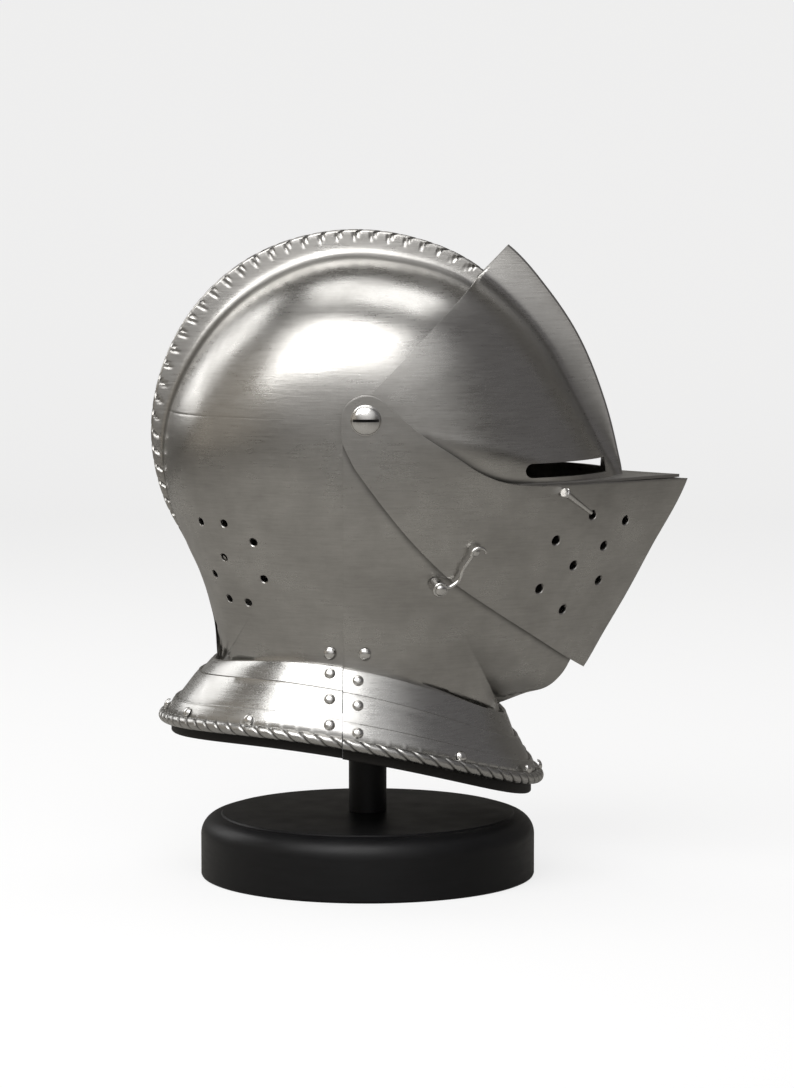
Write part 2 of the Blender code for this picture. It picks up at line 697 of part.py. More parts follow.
def make_ventail(pivot):
    """The ventail: the pointed lower face guard with its breaths, outermost on the pivot."""
    first, last = VENTAIL_OUTLINE[0].angle, VENTAIL_OUTLINE[-1].angle
    spokes = medial_spokes(VENTAIL_OUTLINE, VENTAIL_REACH, first, last)
    ventail = fan("ventail", spokes, SKULL_HALF_WIDTH + 3 * LAYER, False, STEEL, pivot)
    far = 3 * SKULL_REACH
    top = through(VENTAIL_TOP, VENTAIL_REACH)
    foot = through(VENTAIL_FOOT, VENTAIL_REACH)
    outline = top + [(far, top[-1][1]), (far, -far), (foot[0][0] + VENTAIL_PROUD, -far)]
    outline += foot + [(-EAR_RADIUS, -EAR_RADIUS * 0.85)] + arc(EAR_RADIUS, 180, 45, 9)
    combine(ventail, prism("ventail_outline", outline, far, pivot), "INTERSECT")
    drill(ventail, "breaths", BREATHS, VENTAIL_REACH, BREATH_RADIUS, pivot)
    return ventail


def band(name, profile, front, parent, steps=LAME_STEPS, colour=STEEL, shape=None, **look):
    """A band round half of the neck, from seam to seam: a profile (level, out, drop) carried round the rings.

    shape may change a section's points by the step number and lean them along the band.
    """
    limit = SEAM_X + (SEAM_GAP / 2 if front else -SEAM_GAP / 2)
    out = BEVOR_OUT if front else 0.0
    middle = 0.0 if front else math.pi
    sections = []
    for step in range(steps + 1):
        section = []
        travel = 2 * step / steps - 1
        points = shape(step, 1 - abs(travel)) if shape else [(*corner, 0.0) for corner in profile]
        for level, offset, drop, lean in points:
            half_turn = abs(ring_angle(level, out + offset, limit) - middle)
            section.append(ring_point(level, out + offset, drop, middle + half_turn * (travel + lean)))
        sections.append(section)
    return add_object(name, loft(name, sections), parent, colour, **look)


def lame_profile(level):
    """A narrow plate from its own ring down inside the next one, which it follows for a share of its height."""
    outside = [(level + run, -LAME_STEP * run) for run in (0, 1, 1 + LAME_LAP)]
    inside = [(at, offset - LAME_WALL) for at, offset in outside[::-1]]
    return [(at, offset, 0.0) for at, offset in (*outside, *inside)]


def rope_shape(length):
    """Sections of the last lame: a plate ending in a rolled edge, whose outside is notched like a rope."""
    top, rim = len(RINGS) - 2, len(RINGS) - 1

    def shape(step, edge):
        groove = ROPE_DEPTH if step % 2 else 0.0
        lean = 2 * ROPE_LEAN / length * min(1, edge * length / (4 * ROPE_PITCH))
        points = [(top, 0.0, 0.0, 0.0)]
        for angle in (115, 55, -5, -65, -125):
            turn = math.radians(angle)
            radius = ROPE_RADIUS - groove
            slant = lean * (25 - angle) / 140
            points.append((rim, radius * math.cos(turn), radius * math.sin(turn), slant))
        points.append((rim, -LAME_WALL - ROPE_ROOT, ROPE_ROOT, 0.0))
        points.append((top, -LAME_WALL, 0.0, 0.0))
        return points

    return shape


def make_neck(pivot):
    """Three rear and three front lames, the last of each roped, with their leather linings."""
    rim = len(RINGS) - 1
    rim_ring = RINGS[rim]
    plates = {}
    for front, stem in ((False, "nape"), (True, "gorget")):
        for level in range(1, rim - 1):
            name = f"{stem}_lame_{level}"
            plates[name] = band(name, lame_profile(level), front, pivot)
        length = math.pi * (rim_ring.half_width + (rim_ring.front - rim_ring.rear) / 2) / 2
        steps = 2 * round(length / ROPE_PITCH)
        name = f"{stem}_lame_{rim - 1}"
        plates[name] = band(name, None, front, pivot, steps, shape=rope_shape(length))
        inside = -ROPE_RADIUS - 2 * SEAT_GAP
        hem = -LAME_WALL - ROPE_ROOT - SEAT_GAP
        top = rim - 0.45
        leather = (
            (top, hem, 0.0),
            (rim, inside, 0.0),
            (rim, inside, -LINING_DROP),
            (rim, inside - LINING_WALL, -LINING_DROP),
            (rim, inside - LINING_WALL, 0.0),
            (top, hem - LINING_WALL, 0.0),
        )
        name = f"{stem}_lining"
        plates[name] = band(name, leather, front, pivot, colour=BLACK_LEATHER, roughness=0.6, metallic=0.0)
    return plates


def rivet_mesh(name, radius):
    """A domed rivet head, flat underneath."""
    bm = bmesh.new()
    rings = []
    for share, rise in ((1.0, 0.0), (0.94, 0.45), (0.55, 0.88)):
        rings.append([
            bm.verts.new((radius * share * math.cos(a), radius * share * math.sin(a), RIVET_HEIGHT * rise))
            for a in np.linspace(0, 2 * math.pi, RIVET_SIDES, endpoint=False)
        ])
    bm.faces.new(rings[0][::-1])
    for lower, upper in zip(rings, rings[1:]):
        for k in range(RIVET_SIDES):
            m = (k + 1) % RIVET_SIDES
            bm.faces.new((lower[k], lower[m], upper[m], upper[k]))
    tip = bm.verts.new((0, 0, RIVET_HEIGHT))
    for k in range(RIVET_SIDES):
        bm.faces.new((rings[-1][k], rings[-1][(k + 1) % RIVET_SIDES], tip))
    mesh = bpy.data.meshes.new(name)
    bm.to_mesh(mesh)
    bm.free()
    return mesh


def add_rivet(name, radius, frame, pivot):
    """One rivet head standing on a plate."""
    rivet = add_object(name, rivet_mesh(name, radius), pivot, BRIGHT_STEEL, 0.25)
    rivet.matrix_local = frame


def make_rivets(plates, skull, bevor, pivot):
    """Rivets beside both seams and along the linings."""
    trees = {name: surface(piece) for name, piece in plates.items()}
    trees["skull"] = surface(skull)
    trees["bevor"] = surface(bevor)
    big_height = RINGS[0].side_z + SKULL_RIVET_RISE
    for side, word in ((-1, "right"), (1, "left")):
        for name, plate, x in (
            ("skull_rivet", "skull", SEAM_X - SEAM_RIVET_BEHIND),
            ("bevor_rivet", "bevor", SEAM_X + BEVOR_RIVET_BEFORE),
        ):
            place, normal = side_hit(trees[plate], x, big_height, side)
            frame = seat(trees[plate], place, normal, BIG_RIVET_RADIUS)
            add_rivet(f"{name}_{word}", BIG_RIVET_RADIUS, frame, pivot)
        for stem, levels, x, out in (
            ("nape", REAR_RIVET_LEVELS, SEAM_X - SEAM_RIVET_BEHIND, 0.0),
            ("gorget", FRONT_RIVET_LEVELS, SEAM_X + SEAM_RIVET_BEFORE, BEVOR_OUT),
        ):
            for number, level in enumerate(levels, 1):
                height = ring_point(level, out, 0.0, ring_angle(level, out, x))[2]
                tree = trees[f"{stem}_lame_{number}"]
                frame = seat(tree, *side_hit(tree, x, height, side), RIVET_RADIUS)
                add_rivet(f"{stem}_seam_rivet_{number}_{word}", RIVET_RADIUS, frame, pivot)
    for stem, angles, out in (("gorget", FRONT_LINING_ANGLES, BEVOR_OUT), ("nape", REAR_LINING_ANGLES, 0.0)):
        for number, degrees in enumerate(angles, 1):
            turn = math.radians(degrees)
            for side, word in ((-1, "right"), (1, "left")):
                if math.sin(turn) < 0.01:
                    if side > 0:
                        continue
                    word = "middle"
                aim = Vector(ring_point(LINING_RIVET_LEVEL, out, 0.0, turn, side))
                away = Vector(ring_point(LINING_RIVET_LEVEL, out + 0.1, 0.0, turn, side))
                tree = trees[f"{stem}_lame_{len(RINGS) - 2}"]
                place, normal, _, _ = tree.ray_cast(away, (aim - away).normalized())
                frame = seat(tree, place, normal, RIVET_RADIUS)
                add_rivet(f"{stem}_lining_rivet_{number}_{word}", RIVET_RADIUS, frame, pivot)


def make_screws(pivot):
    """The two pivot screws: domed slotted head, shank and the nut inside the skull."""
    outer = SKULL_HALF_WIDTH + 3 * LAYER + SEAT_GAP
    inner = SKULL_HALF_WIDTH - WALL - PLAY
    dome = [
        (SCREW_HEAD_RADIUS * math.cos(a), outer + 0.8 * MM + (SCREW_HEAD_HEIGHT - 0.8 * MM) * math.sin(a))
        for a in np.radians((90, 60, 30, 0))
    ]
    profile = dome + [
        (SCREW_HEAD_RADIUS, outer),
        (SHANK_RADIUS, outer),
        (SHANK_RADIUS, inner),
        (SCREW_NUT_RADIUS, inner),
        (SCREW_NUT_RADIUS, inner - SCREW_NUT_HEIGHT),
        (0.0, inner - SCREW_NUT_HEIGHT),
    ]
    profile[0] = (0.0, profile[0][1])
    for side, word in ((-1, "right"), (1, "left")):
        screw = turned(f"pivot_screw_{word}", profile, 16, pivot, colour=BRIGHT_STEEL, roughness=0.2)
        screw.rotation_euler = (math.radians(90) * -side, 0, 0)
        bm = bmesh.new()
        bmesh.ops.create_cube(bm, size=1)
        top = outer + SCREW_HEAD_HEIGHT
        for corner in bm.verts:
            corner.co = (corner.co.x * 3 * SCREW_HEAD_RADIUS, corner.co.y * SCREW_SLOT,
                         top + (corner.co.z * 2 + 0.25) * SCREW_HEAD_HEIGHT * 0.5)
        mesh = bpy.data.meshes.new(f"slot_{word}")
        bm.to_mesh(mesh)
        bm.free()
        slot = add_cutter(f"slot_{word}", mesh, pivot)
        slot.rotation_euler = screw.rotation_euler
        combine(screw, slot, "DIFFERENCE")


def wire_mesh(name, points, radius):
    """A round wire along points, as a closed mesh."""
    curve = bpy.data.curves.new(name, "CURVE")
    curve.dimensions = "3D"
    curve.bevel_depth = radius
    curve.bevel_resolution = 1
    curve.use_fill_caps = True
    spline = curve.splines.new("POLY")
    spline.points.add(len(points) - 1)
    for knot, point in zip(spline.points, points):
        knot.co = (*point, 1)
    guide = bpy.data.objects.new(name + "_guide", curve)
    bpy.context.scene.collection.objects.link(guide)
    bpy.context.view_layer.update()
    mesh = bpy.data.meshes.new_from_object(guide.evaluated_get(bpy.context.evaluated_depsgraph_get()))
    bpy.data.objects.remove(guide)
    bm = bmesh.new()
    bm.from_mesh(mesh)
    bmesh.ops.remove_doubles(bm, verts=bm.verts, dist=0.00001)
    bmesh.ops.recalc_face_normals(bm, faces=bm.faces)
    bm.to_mesh(mesh)
    bm.free()
    mesh.name = name
    return mesh


def make_hook(bevor, ventail, pivot):
    """The latch hook on the right side, its rivet on the bevor, and its stud on the ventail, under the curl."""
    bevor_tree, ventail_tree = surface(bevor), surface(ventail)
    stud_place, outward = side_hit(ventail_tree, *(share * VENTAIL_REACH for share in STUD_AT))
    rivet_place, _ = side_hit(bevor_tree, *(share * BEVOR_REACH for share in HOOK_AT))
    frame = seat(bevor_tree, rivet_place, outward, HOOK_RIVET_FOOT)
    stud_frame = seat(ventail_tree, stud_place, outward, STUD_RADIUS)
    stud_in_hook = frame.inverted() @ stud_frame.translation
    reach = math.hypot(stud_in_hook.x, stud_in_hook.y)
    heading = math.atan2(stud_in_hook.y, stud_in_hook.x)
    hook_frame = frame @ Matrix.Rotation(heading, 4, "Z")
    under = HOOK_STANDOFF
    for swing in range(0, HOOK_SWING + 16, 15):
        for lift in range(0, VENTAIL_SWING + 1, 5):
            swung = hook_frame @ Matrix.Rotation(math.radians(swing), 4, "Z")
            seen = Matrix.Rotation(math.radians(lift), 4, "Y") @ swung
            for share in np.linspace(0, 1.15, 12):
                under = max(under, height_over(ventail_tree, seen, share * reach, 0) + PLAY)
    for lift in range(VENTAIL_SWING + 1):
        moved = frame.inverted() @ (Matrix.Rotation(math.radians(-lift), 4, "Y") @ stud_frame.translation)
        if (moved - stud_in_hook).length < STUD_CURL + HOOK_WIRE + STUD_RADIUS:
            under = max(under, moved.z + STUD_HEIGHT + PLAY / 2)
    middle = under + HOOK_DISC_HEIGHT / 2
    top = under + HOOK_DISC_HEIGHT
    rivet_profile = [
        (0.0, top + 2.2 * MM),
        (2.4 * MM, top + 1.6 * MM),
        (3.2 * MM, top + SEAT_GAP),
        (1.5 * MM, top + SEAT_GAP),
        (1.5 * MM, under - SEAT_GAP),
        (3.8 * MM, under - SEAT_GAP),
        (HOOK_RIVET_FOOT, 0.0),
        (0.0, 0.0),
    ]
    rivet = turned("hook_rivet", rivet_profile, 12, pivot, colour=BRIGHT_STEEL, roughness=0.25)
    rivet.matrix_local = frame

    path = [(0.66 * HOOK_DISC_RADIUS, -0.4 * HOOK_WAIST, middle), (0.34 * reach, -HOOK_WAIST, middle),
            (0.42 * reach, -0.85 * HOOK_WAIST, middle)]
    for degrees in range(150, -31, -30):
        turn = math.radians(degrees)
        path.append((reach + STUD_CURL * math.cos(turn), STUD_CURL * math.sin(turn), middle))
    hook_mesh = wire_mesh("hook_wire", path, HOOK_WIRE)
    bm = bmesh.new()
    bmesh.ops.create_cone(bm, cap_ends=True, segments=16, radius1=HOOK_DISC_RADIUS, radius2=HOOK_DISC_RADIUS,
                          depth=HOOK_DISC_HEIGHT, matrix=Matrix.Translation((0, 0, middle)))
    disc = bpy.data.meshes.new("latch_hook")
    bm.to_mesh(disc)
    bm.free()
    hook = add_object("latch_hook", disc, pivot, BRIGHT_STEEL, 0.25)
    hook.matrix_local = hook_frame
    wire = add_cutter("hook_wire", hook_mesh, pivot)
    wire.matrix_local = hook_frame
    combine(hook, wire, "UNION")
    bm = bmesh.new()
    bmesh.ops.create_cone(bm, cap_ends=True, segments=12, radius1=1.9 * MM, radius2=1.9 * MM,
                          depth=4 * HOOK_DISC_HEIGHT, matrix=Matrix.Translation((0, 0, middle)))
    bore_mesh = bpy.data.meshes.new("hook_bore")
    bm.to_mesh(bore_mesh)
    bm.free()
    bore = add_cutter("hook_bore", bore_mesh, pivot)
    bore.matrix_local = hook_frame
    combine(hook, bore, "DIFFERENCE")

    stud_profile = [
        (0.0, STUD_HEIGHT),
        (0.7 * STUD_RADIUS, 0.8 * STUD_HEIGHT),
        (STUD_RADIUS, 0.4 * STUD_HEIGHT),
        (STUD_RADIUS, 0.0),
        (0.0, 0.0),
    ]
    stud = turned("hook_stud", stud_profile, 12, pivot, colour=BRIGHT_STEEL, roughness=0.25)
    stud.matrix_local = stud_frame


def make_peg(ventail, pivot):
    """The lifting peg: a tapered pin with a collar, along the ventail's upper right face."""
    tree = surface(ventail)
    root, root_normal = side_hit(tree, *(share * VENTAIL_REACH for share in PEG_FROM))
    tip, tip_normal = side_hit(tree, *(share * VENTAIL_REACH for share in PEG_TO))
    start = root + root_normal * (PEG_COLLAR_RADIUS + SEAT_GAP)
    end = tip + tip_normal * (PEG_TIP_RADIUS + SEAT_GAP)
    lift = 0.0
    for share in np.linspace(0, 1, 9):
        point = start.lerp(end, share)
        taper = PEG_ROOT_RADIUS + (PEG_TIP_RADIUS - PEG_ROOT_RADIUS) * share
        radius = PEG_COLLAR_RADIUS if share < 0.2 else taper
        nearest, normal, _, _ = tree.find_nearest(point)
        lift = max(lift, radius + SEAT_GAP - (point - nearest).dot(normal))
    start += root_normal * lift
    end += root_normal * lift
    length = (end - start).length
    profile = [
        (0.0, length),
        (0.7 * PEG_TIP_RADIUS, length - 0.3 * MM),
        (PEG_TIP_RADIUS, length - 1.2 * MM),
        (PEG_ROOT_RADIUS, PEG_COLLAR_LENGTH),
        (PEG_COLLAR_RADIUS, PEG_COLLAR_LENGTH),
        (PEG_COLLAR_RADIUS, 0.0),
        (0.0, 0.0),
    ]
    peg = turned("lifting_peg", profile, 10, pivot, colour=BRIGHT_STEEL, roughness=0.25)
    turn = (end - start).to_track_quat("Z", "Y").to_matrix().to_4x4()
    turn.translation = start
    peg.matrix_local = turn


def make_stand(skull):
    """The turned base and the post, whose cap carries the skull from inside."""
    shoulder = [
        (BASE_RADIUS - BASE_SHOULDER * (1 - math.cos(a)),
         BASE_HEIGHT - BASE_TOP_STEP - BASE_SHOULDER * (1 - math.sin(a)))
        for a in np.radians((90, 60, 30, 0))
    ]
    top = BASE_RADIUS - BASE_SHOULDER
    profile = [(0.0, BASE_HEIGHT), (top - 0.8 * MM, BASE_HEIGHT)] + shoulder
    profile += [(BASE_RADIUS, 1.5 * MM), (BASE_RADIUS - 1.5 * MM, 0.0), (0.0, 0.0)]
    turned("stand_base", profile, BASE_SIDES, colour=BLACK_WOOD, roughness=0.25, metallic=0.0)
    crown, _, _, _ = surface(skull).ray_cast(Vector((0, 0, 0)), Vector((0, 0, 1)))
    cap_top = PIVOT_HEIGHT + crown.z - SEAT_GAP
    cap_foot = cap_top - CAP_DOME - CAP_EDGE
    profile = [(0.0, cap_top), (0.55 * CAP_RADIUS, cap_top - 0.30 * CAP_DOME)]
    profile += [(CAP_RADIUS, cap_top - CAP_DOME), (CAP_RADIUS, cap_foot), (POST_RADIUS, cap_foot)]
    profile += [(POST_RADIUS, BASE_HEIGHT + SEAT_GAP), (0.0, BASE_HEIGHT + SEAT_GAP)]
    turned("stand_post", profile, 20, colour=BLACK_WOOD, roughness=0.25, metallic=0.0)


def main():
    """Build the helmet and its stand."""
    pivot = start_scene()
    skull = make_skull(pivot)
    bevor = make_bevor(pivot)
    ventail = make_ventail(pivot)
    make_visor(ventail, pivot)
    plates = make_neck(pivot)
    make_rivets(plates, skull, bevor, pivot)
    make_screws(pivot)
    make_hook(bevor, ventail, pivot)
    make_peg(ventail, pivot)
    make_stand(skull)


main()
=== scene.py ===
"""A close helmet of the sixteenth century, dressed for display on a plain black stand.

Metres, +Z up. The helmet faces +X and its right side is -Y. Every plate is a surface worked out with numpy
round the pivot, the level axis through both temple screws.
"""

import json
import math

import bmesh
import bpy
import numpy as np
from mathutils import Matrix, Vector

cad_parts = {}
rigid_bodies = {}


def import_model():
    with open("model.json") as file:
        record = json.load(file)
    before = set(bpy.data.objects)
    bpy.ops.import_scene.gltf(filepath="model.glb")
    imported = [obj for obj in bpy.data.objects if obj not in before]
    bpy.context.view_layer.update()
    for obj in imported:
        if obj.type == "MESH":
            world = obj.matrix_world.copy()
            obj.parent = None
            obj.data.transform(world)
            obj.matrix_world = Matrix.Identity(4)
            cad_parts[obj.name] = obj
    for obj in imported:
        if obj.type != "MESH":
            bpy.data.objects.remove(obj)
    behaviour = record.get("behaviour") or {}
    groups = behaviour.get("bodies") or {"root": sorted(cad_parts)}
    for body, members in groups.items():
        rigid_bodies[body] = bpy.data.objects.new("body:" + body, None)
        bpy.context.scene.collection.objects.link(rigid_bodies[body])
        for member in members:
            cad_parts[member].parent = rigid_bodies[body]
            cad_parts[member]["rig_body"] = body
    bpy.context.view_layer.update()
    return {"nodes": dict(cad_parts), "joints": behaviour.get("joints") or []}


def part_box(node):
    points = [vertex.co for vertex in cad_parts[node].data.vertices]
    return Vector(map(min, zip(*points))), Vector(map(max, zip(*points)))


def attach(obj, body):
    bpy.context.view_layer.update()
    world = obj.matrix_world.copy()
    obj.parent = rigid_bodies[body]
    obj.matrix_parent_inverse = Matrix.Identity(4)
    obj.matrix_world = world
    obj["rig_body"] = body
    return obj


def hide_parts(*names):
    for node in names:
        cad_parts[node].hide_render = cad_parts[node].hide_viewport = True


bl_info = {
    "name": "Close helmet",
    "version": (1, 0, 0),
    "blender": (4, 5, 0),
    "location": "3D View > Sidebar > Close helmet",
    "description": "Makes a close helmet on its display stand, piece by piece",
    "category": "Add Mesh",
}

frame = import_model()
JOINTS = {joint["name"]: joint for joint in frame["joints"]}

MM = 0.001
PIVOT = np.array([0.0, 0.0, JOINTS["visor_pivot"]["pos_m"][2]])

# Plates and the play between them
SKULL_HALF_WIDTH = 98 * MM
WALL = 1.6 * MM
PLAY = 1.0 * MM
SEAT_GAP = 0.3 * MM
LAYER = WALL + PLAY
BEVOR_OUT = 3.2 * MM
SKULL_REACH = 130 * MM
VISOR_REACH = 156 * MM
VENTAIL_REACH = 196 * MM
BEVOR_REACH = 193 * MM
EAR_RADIUS = 14.2 * MM
INNER_EAR_RADIUS = 12.6 * MM
SEAM_X = -13.7 * MM
SEAM_GAP = 0.6 * MM
LINING_GAP = 0.1 * MM
SKULL_FOOT_FRONT = 26 * MM
NECK_LAP = 8 * MM
NECK_COLLAR = 12 * MM
VISOR_LAP = 8 * MM
LEDGE_WALL = 1.8 * MM
LEDGE_RISE = 0.8 * MM
LEDGE_LENGTH = 114 * MM
FIN_BASE = 17 * MM
FIN_CREST = 5 * MM
COMB_BASE = 10 * MM
COMB_CREST = 6 * MM
PIVOT_HOLE = 3.5 * MM
PLATE_BEVEL = 0.7 * MM
VISOR_BEVEL = 0.5 * MM
MIRROR = np.array([1.0, -1.0, 1.0])

# Lames, rope rim and lining
LAME_WALL = 1.6 * MM
LAME_STEP = 2.1 * MM
LAME_LAP = 0.3
NECK_PLAY = 0.9 * MM
ROPE_RADIUS = 3.5 * MM
ROPE_ROOT = 1.2 * MM
LINING_WALL = 2 * MM
LINING_DROP = 9.5 * MM
LAME_EDGE = 0.45 * MM

# Fan surfaces: how flat the sides are, how late the neck hollows, how soon it does so round the ring, and
# the angle of the skull's rear foot
FLATNESS = 2.5
OGEE_LATE = 1.7
NECK_EASE = 1.3
REAR_CORNER = 238.6

# Middle-plane outlines round the pivot: degrees above straight ahead, shares of the reach for bowl and crest,
# bluntness of the section at the middle plane, and how far it is hollowed towards the neck.
SKULL_OUTLINE = np.array((
    (-62, 1.150, 1.150, 2.2, 0.6), (-20, 0.880, 0.880, 2.2, 0.1), (20, 0.762, 0.830, 2.2, 0.0),
    (48, 0.742, 0.838, 2.2, 0.0), (77, 0.697, 0.823, 2.2, 0.0), (104, 0.710, 0.844, 2.2, 0.0),
    (132, 0.746, 0.895, 2.2, 0.0), (161, 0.823, 0.952, 2.2, 0.0), (189, 0.942, 1.006, 2.2, 0.0),
    (203, 0.993, 1.022, 2.2, 0.0), (217, 1.034, 1.036, 2.2, 0.0), (224, 1.072, 1.072, 2.2, 0.08),
    (229.7, 1.133, 1.133, 2.2, 0.18), (235.3, 1.233, 1.233, 2.2, 0.30),
    (REAR_CORNER, 1.332, 1.332, 2.2, 0.37),
))
BEVOR_OUTLINE = np.array((
    (-66, 1.000, 1.000, 1.60, 0.15), (-60.8, 1.010, 1.010, 1.30, 0.08), (-57, 1.028, 1.028, 1.15, 0.05),
    (-53.5, 1.020, 1.020, 1.1, 0.0), (-50, 0.995, 0.995, 1.0, 0.0), (-44, 0.962, 0.962, 1.0, 0.0),
    (-30, 0.930, 0.930, 1.0, 0.0), (0, 0.900, 0.900, 1.3, 0.0), (60, 0.800, 0.800, 2.0, 0.0),
    (120, 0.700, 0.700, 2.2, 0.0), (180, 0.600, 0.600, 2.2, 0.0),
))
VENTAIL_OUTLINE = np.array((
    (-110, 1.200, 1.200, 1.3, 0.0), (-66, 1.110, 1.110, 1.0, 0.0), (-49.7, 1.028, 1.028, 1.0, 0.0),
    (-43.8, 0.996, 0.996, 1.0, 0.0), (-35, 0.971, 0.971, 1.0, 0.0), (-26.2, 0.964, 0.964, 1.0, 0.0),
    (-11.7, 1.001, 1.001, 0.82, 0.0), (10, 1.050, 1.050, 0.9, 0.0), (90, 0.900, 0.900, 2.0, 0.0),
    (180, 0.900, 0.900, 2.0, 0.0), (250, 1.200, 1.200, 1.3, 0.0),
))
VISOR_OUTLINE = np.array((
    (-80, 0.970, 0.990, 1.4, 0.0), (-30, 0.970, 0.990, 1.4, 0.0), (-14, 0.972, 1.001, 1.5, 0.0),
    (-9, 0.905, 0.966, 1.55, 0.0), (2.5, 0.800, 0.905, 1.7, 0.0), (21.5, 0.717, 0.848, 1.9, 0.0),
    (34, 0.683, 0.827, 2.1, 0.0), (49, 0.659, 0.826, 2.2, 0.0), (90, 0.640, 0.780, 2.2, 0.0),
    (180, 0.800, 0.900, 2.2, 0.0), (280, 0.970, 0.990, 1.4, 0.0),
))
BOWL, CREST, BLUNT, OGEE = 1, 2, 3, 4

# Neck rings, from the foot of the skull to the middle of the rope: front, rear, half width, and the heights
# of the front, the rear and the sides. The half width is a share of the skull's, the rest of its reach.
RING_SHARES = np.array((
    (0.598, -0.696, 0.745, -1.392, -1.138, -1.127),
    (0.673, -0.781, 0.857, -1.503, -1.194, -1.225),
    (0.738, -0.892, 0.959, -1.608, -1.318, -1.342),
    (0.765, -0.940, 1.015, -1.688, -1.402, -1.437),
))

# Edges in the side view, as points (forward, up) from the pivot, in shares of the plate's own reach
VENTAIL_TOP = ((0.168, -0.048), (0.265, -0.111), (0.337, -0.158), (0.408, -0.187), (0.485, -0.198),
               (0.571, -0.201), (0.719, -0.203), (0.980, -0.207))
VENTAIL_FOOT = ((0.663, -0.787), (0.605, -0.745), (0.482, -0.651), (0.381, -0.577), (0.255, -0.482),
                (0.169, -0.397), (0.102, -0.321), (0.032, -0.231), (-0.035, -0.139))
VISOR_REAR = ((0.008, 0.083), (0.533, 0.628))
BEVOR_TOP = ((0.062, -0.047), (0.155, -0.171), (0.311, -0.373), (0.466, -0.549), (0.611, -0.663),
             (0.725, -0.720))
SKULL_FRONT = ((0.046, -1.231), (0.046, -0.538), (0.069, -0.308), (0.138, -0.123), (0.246, 0.031),
               (0.400, 0.154), (0.600, 0.246), (0.862, 0.323))
BREATHS = ((0.676, -0.299), (0.781, -0.324), (0.564, -0.370), (0.714, -0.398), (0.620, -0.452),
           (0.701, -0.507), (0.516, -0.517), (0.590, -0.589))
VENTS = ((-0.746, -0.477), (-0.638, -0.477), (-0.505, -0.558), (-0.642, -0.638), (-0.689, -0.723),
         (-0.460, -0.728), (-0.623, -0.834), (-0.535, -0.845))
BREATH_RADIUS = 2.9 * MM
VENT_RADIUS = 2.4 * MM
SIGHT_LENGTH = 49 * MM
SIGHT_INSET = 15 * MM
SIGHT_SILL = 3.1 * MM
SIGHT_HEIGHT = 8.4 * MM


def read(rows, degrees, column):
    """A column of a table at any angles, on the cubic through its rows."""
    keys, values = rows[:, 0], rows[:, column]
    slopes = np.gradient(values, keys)
    i = np.clip(np.searchsorted(keys, degrees) - 1, 0, len(keys) - 2)
    width = keys[i + 1] - keys[i]
    t = np.clip((degrees - keys[i]) / width, 0, 1)
    left = (2 * t**3 - 3 * t**2 + 1) * values[i] + (t**3 - 2 * t**2 + t) * width * slopes[i]
    return left + (3 * t**2 - 2 * t**3) * values[i + 1] + (t**3 - t**2) * width * slopes[i + 1]


def line_through(points, scale, count=200):
    """A smooth line through a few points, as count points evenly spaced: a cubic by the points' order."""
    p = np.array(points, float) * scale
    order = np.arange(len(p), dtype=float)
    t = np.linspace(0, len(p) - 1, 12 * len(p))
    curve = np.stack([read(np.column_stack([order, p[:, k]]), t, 1) for k in (0, 1)], 1)
    return evenly(curve, count)


def evenly(curve, count):
    """Points along a polyline at even steps of its length."""
    along = np.concatenate([[0], np.cumsum(np.linalg.norm(np.diff(curve, axis=0), axis=1))])
    at = along[-1] * np.linspace(0, 1, count)
    return np.stack([np.interp(at, along, curve[:, k]) for k in range(curve.shape[1])], 1)


def neck_rings():
    """The neck's five rings in metres: the foot, then the tops of the three lames, then the rope."""
    sizes = np.array([SKULL_REACH, SKULL_REACH, SKULL_HALF_WIDTH, SKULL_REACH, SKULL_REACH, SKULL_REACH])
    rings = RING_SHARES * sizes
    out = LAME_WALL + NECK_PLAY
    first = rings[0] + np.array([out, -out, out, 0, 0, 0])
    return np.vstack([rings[:1], first[None], rings[1:]])


RINGS = neck_rings()


def ring_point(level, out, drop, angle):
    """A point round a neck ring, on the left side for positive angles: an ellipse in plan, tilted and arched.

    x = middle + (half length + out) cos a, y = (half width + out) sin a, and the height runs from the front's
    to the rear's with cos a and towards the sides' with the square of sin a.
    """
    level, out, drop, angle = np.broadcast_arrays(level, out, drop, angle)
    i = np.clip(level.astype(int), 0, len(RINGS) - 2)
    t = (level - i)[..., None]
    front, rear, half, front_z, rear_z, side_z = np.moveaxis(RINGS[i] + (RINGS[i + 1] - RINGS[i]) * t, -1, 0)
    mean = (front_z + rear_z) / 2
    z = mean - (rear_z - front_z) / 2 * np.cos(angle) + (side_z - mean) * np.sin(angle) ** 2
    x = (front + rear) / 2 + ((front - rear) / 2 + out) * np.cos(angle)
    return np.stack([x, (half + out) * np.sin(angle), z + drop], -1)


def ring_angle(level, out, x):
    """The angle round a ring, from straight ahead, where it is at x."""
    i = np.clip(np.asarray(level).astype(int), 0, len(RINGS) - 2)
    t = np.asarray(level - i)[..., None]
    front, rear = np.moveaxis((RINGS[i] + (RINGS[i + 1] - RINGS[i]) * t)[..., :2], -1, 0)
    return np.arccos(np.clip((x - (front + rear) / 2) / ((front - rear) / 2 + out), -1, 1))


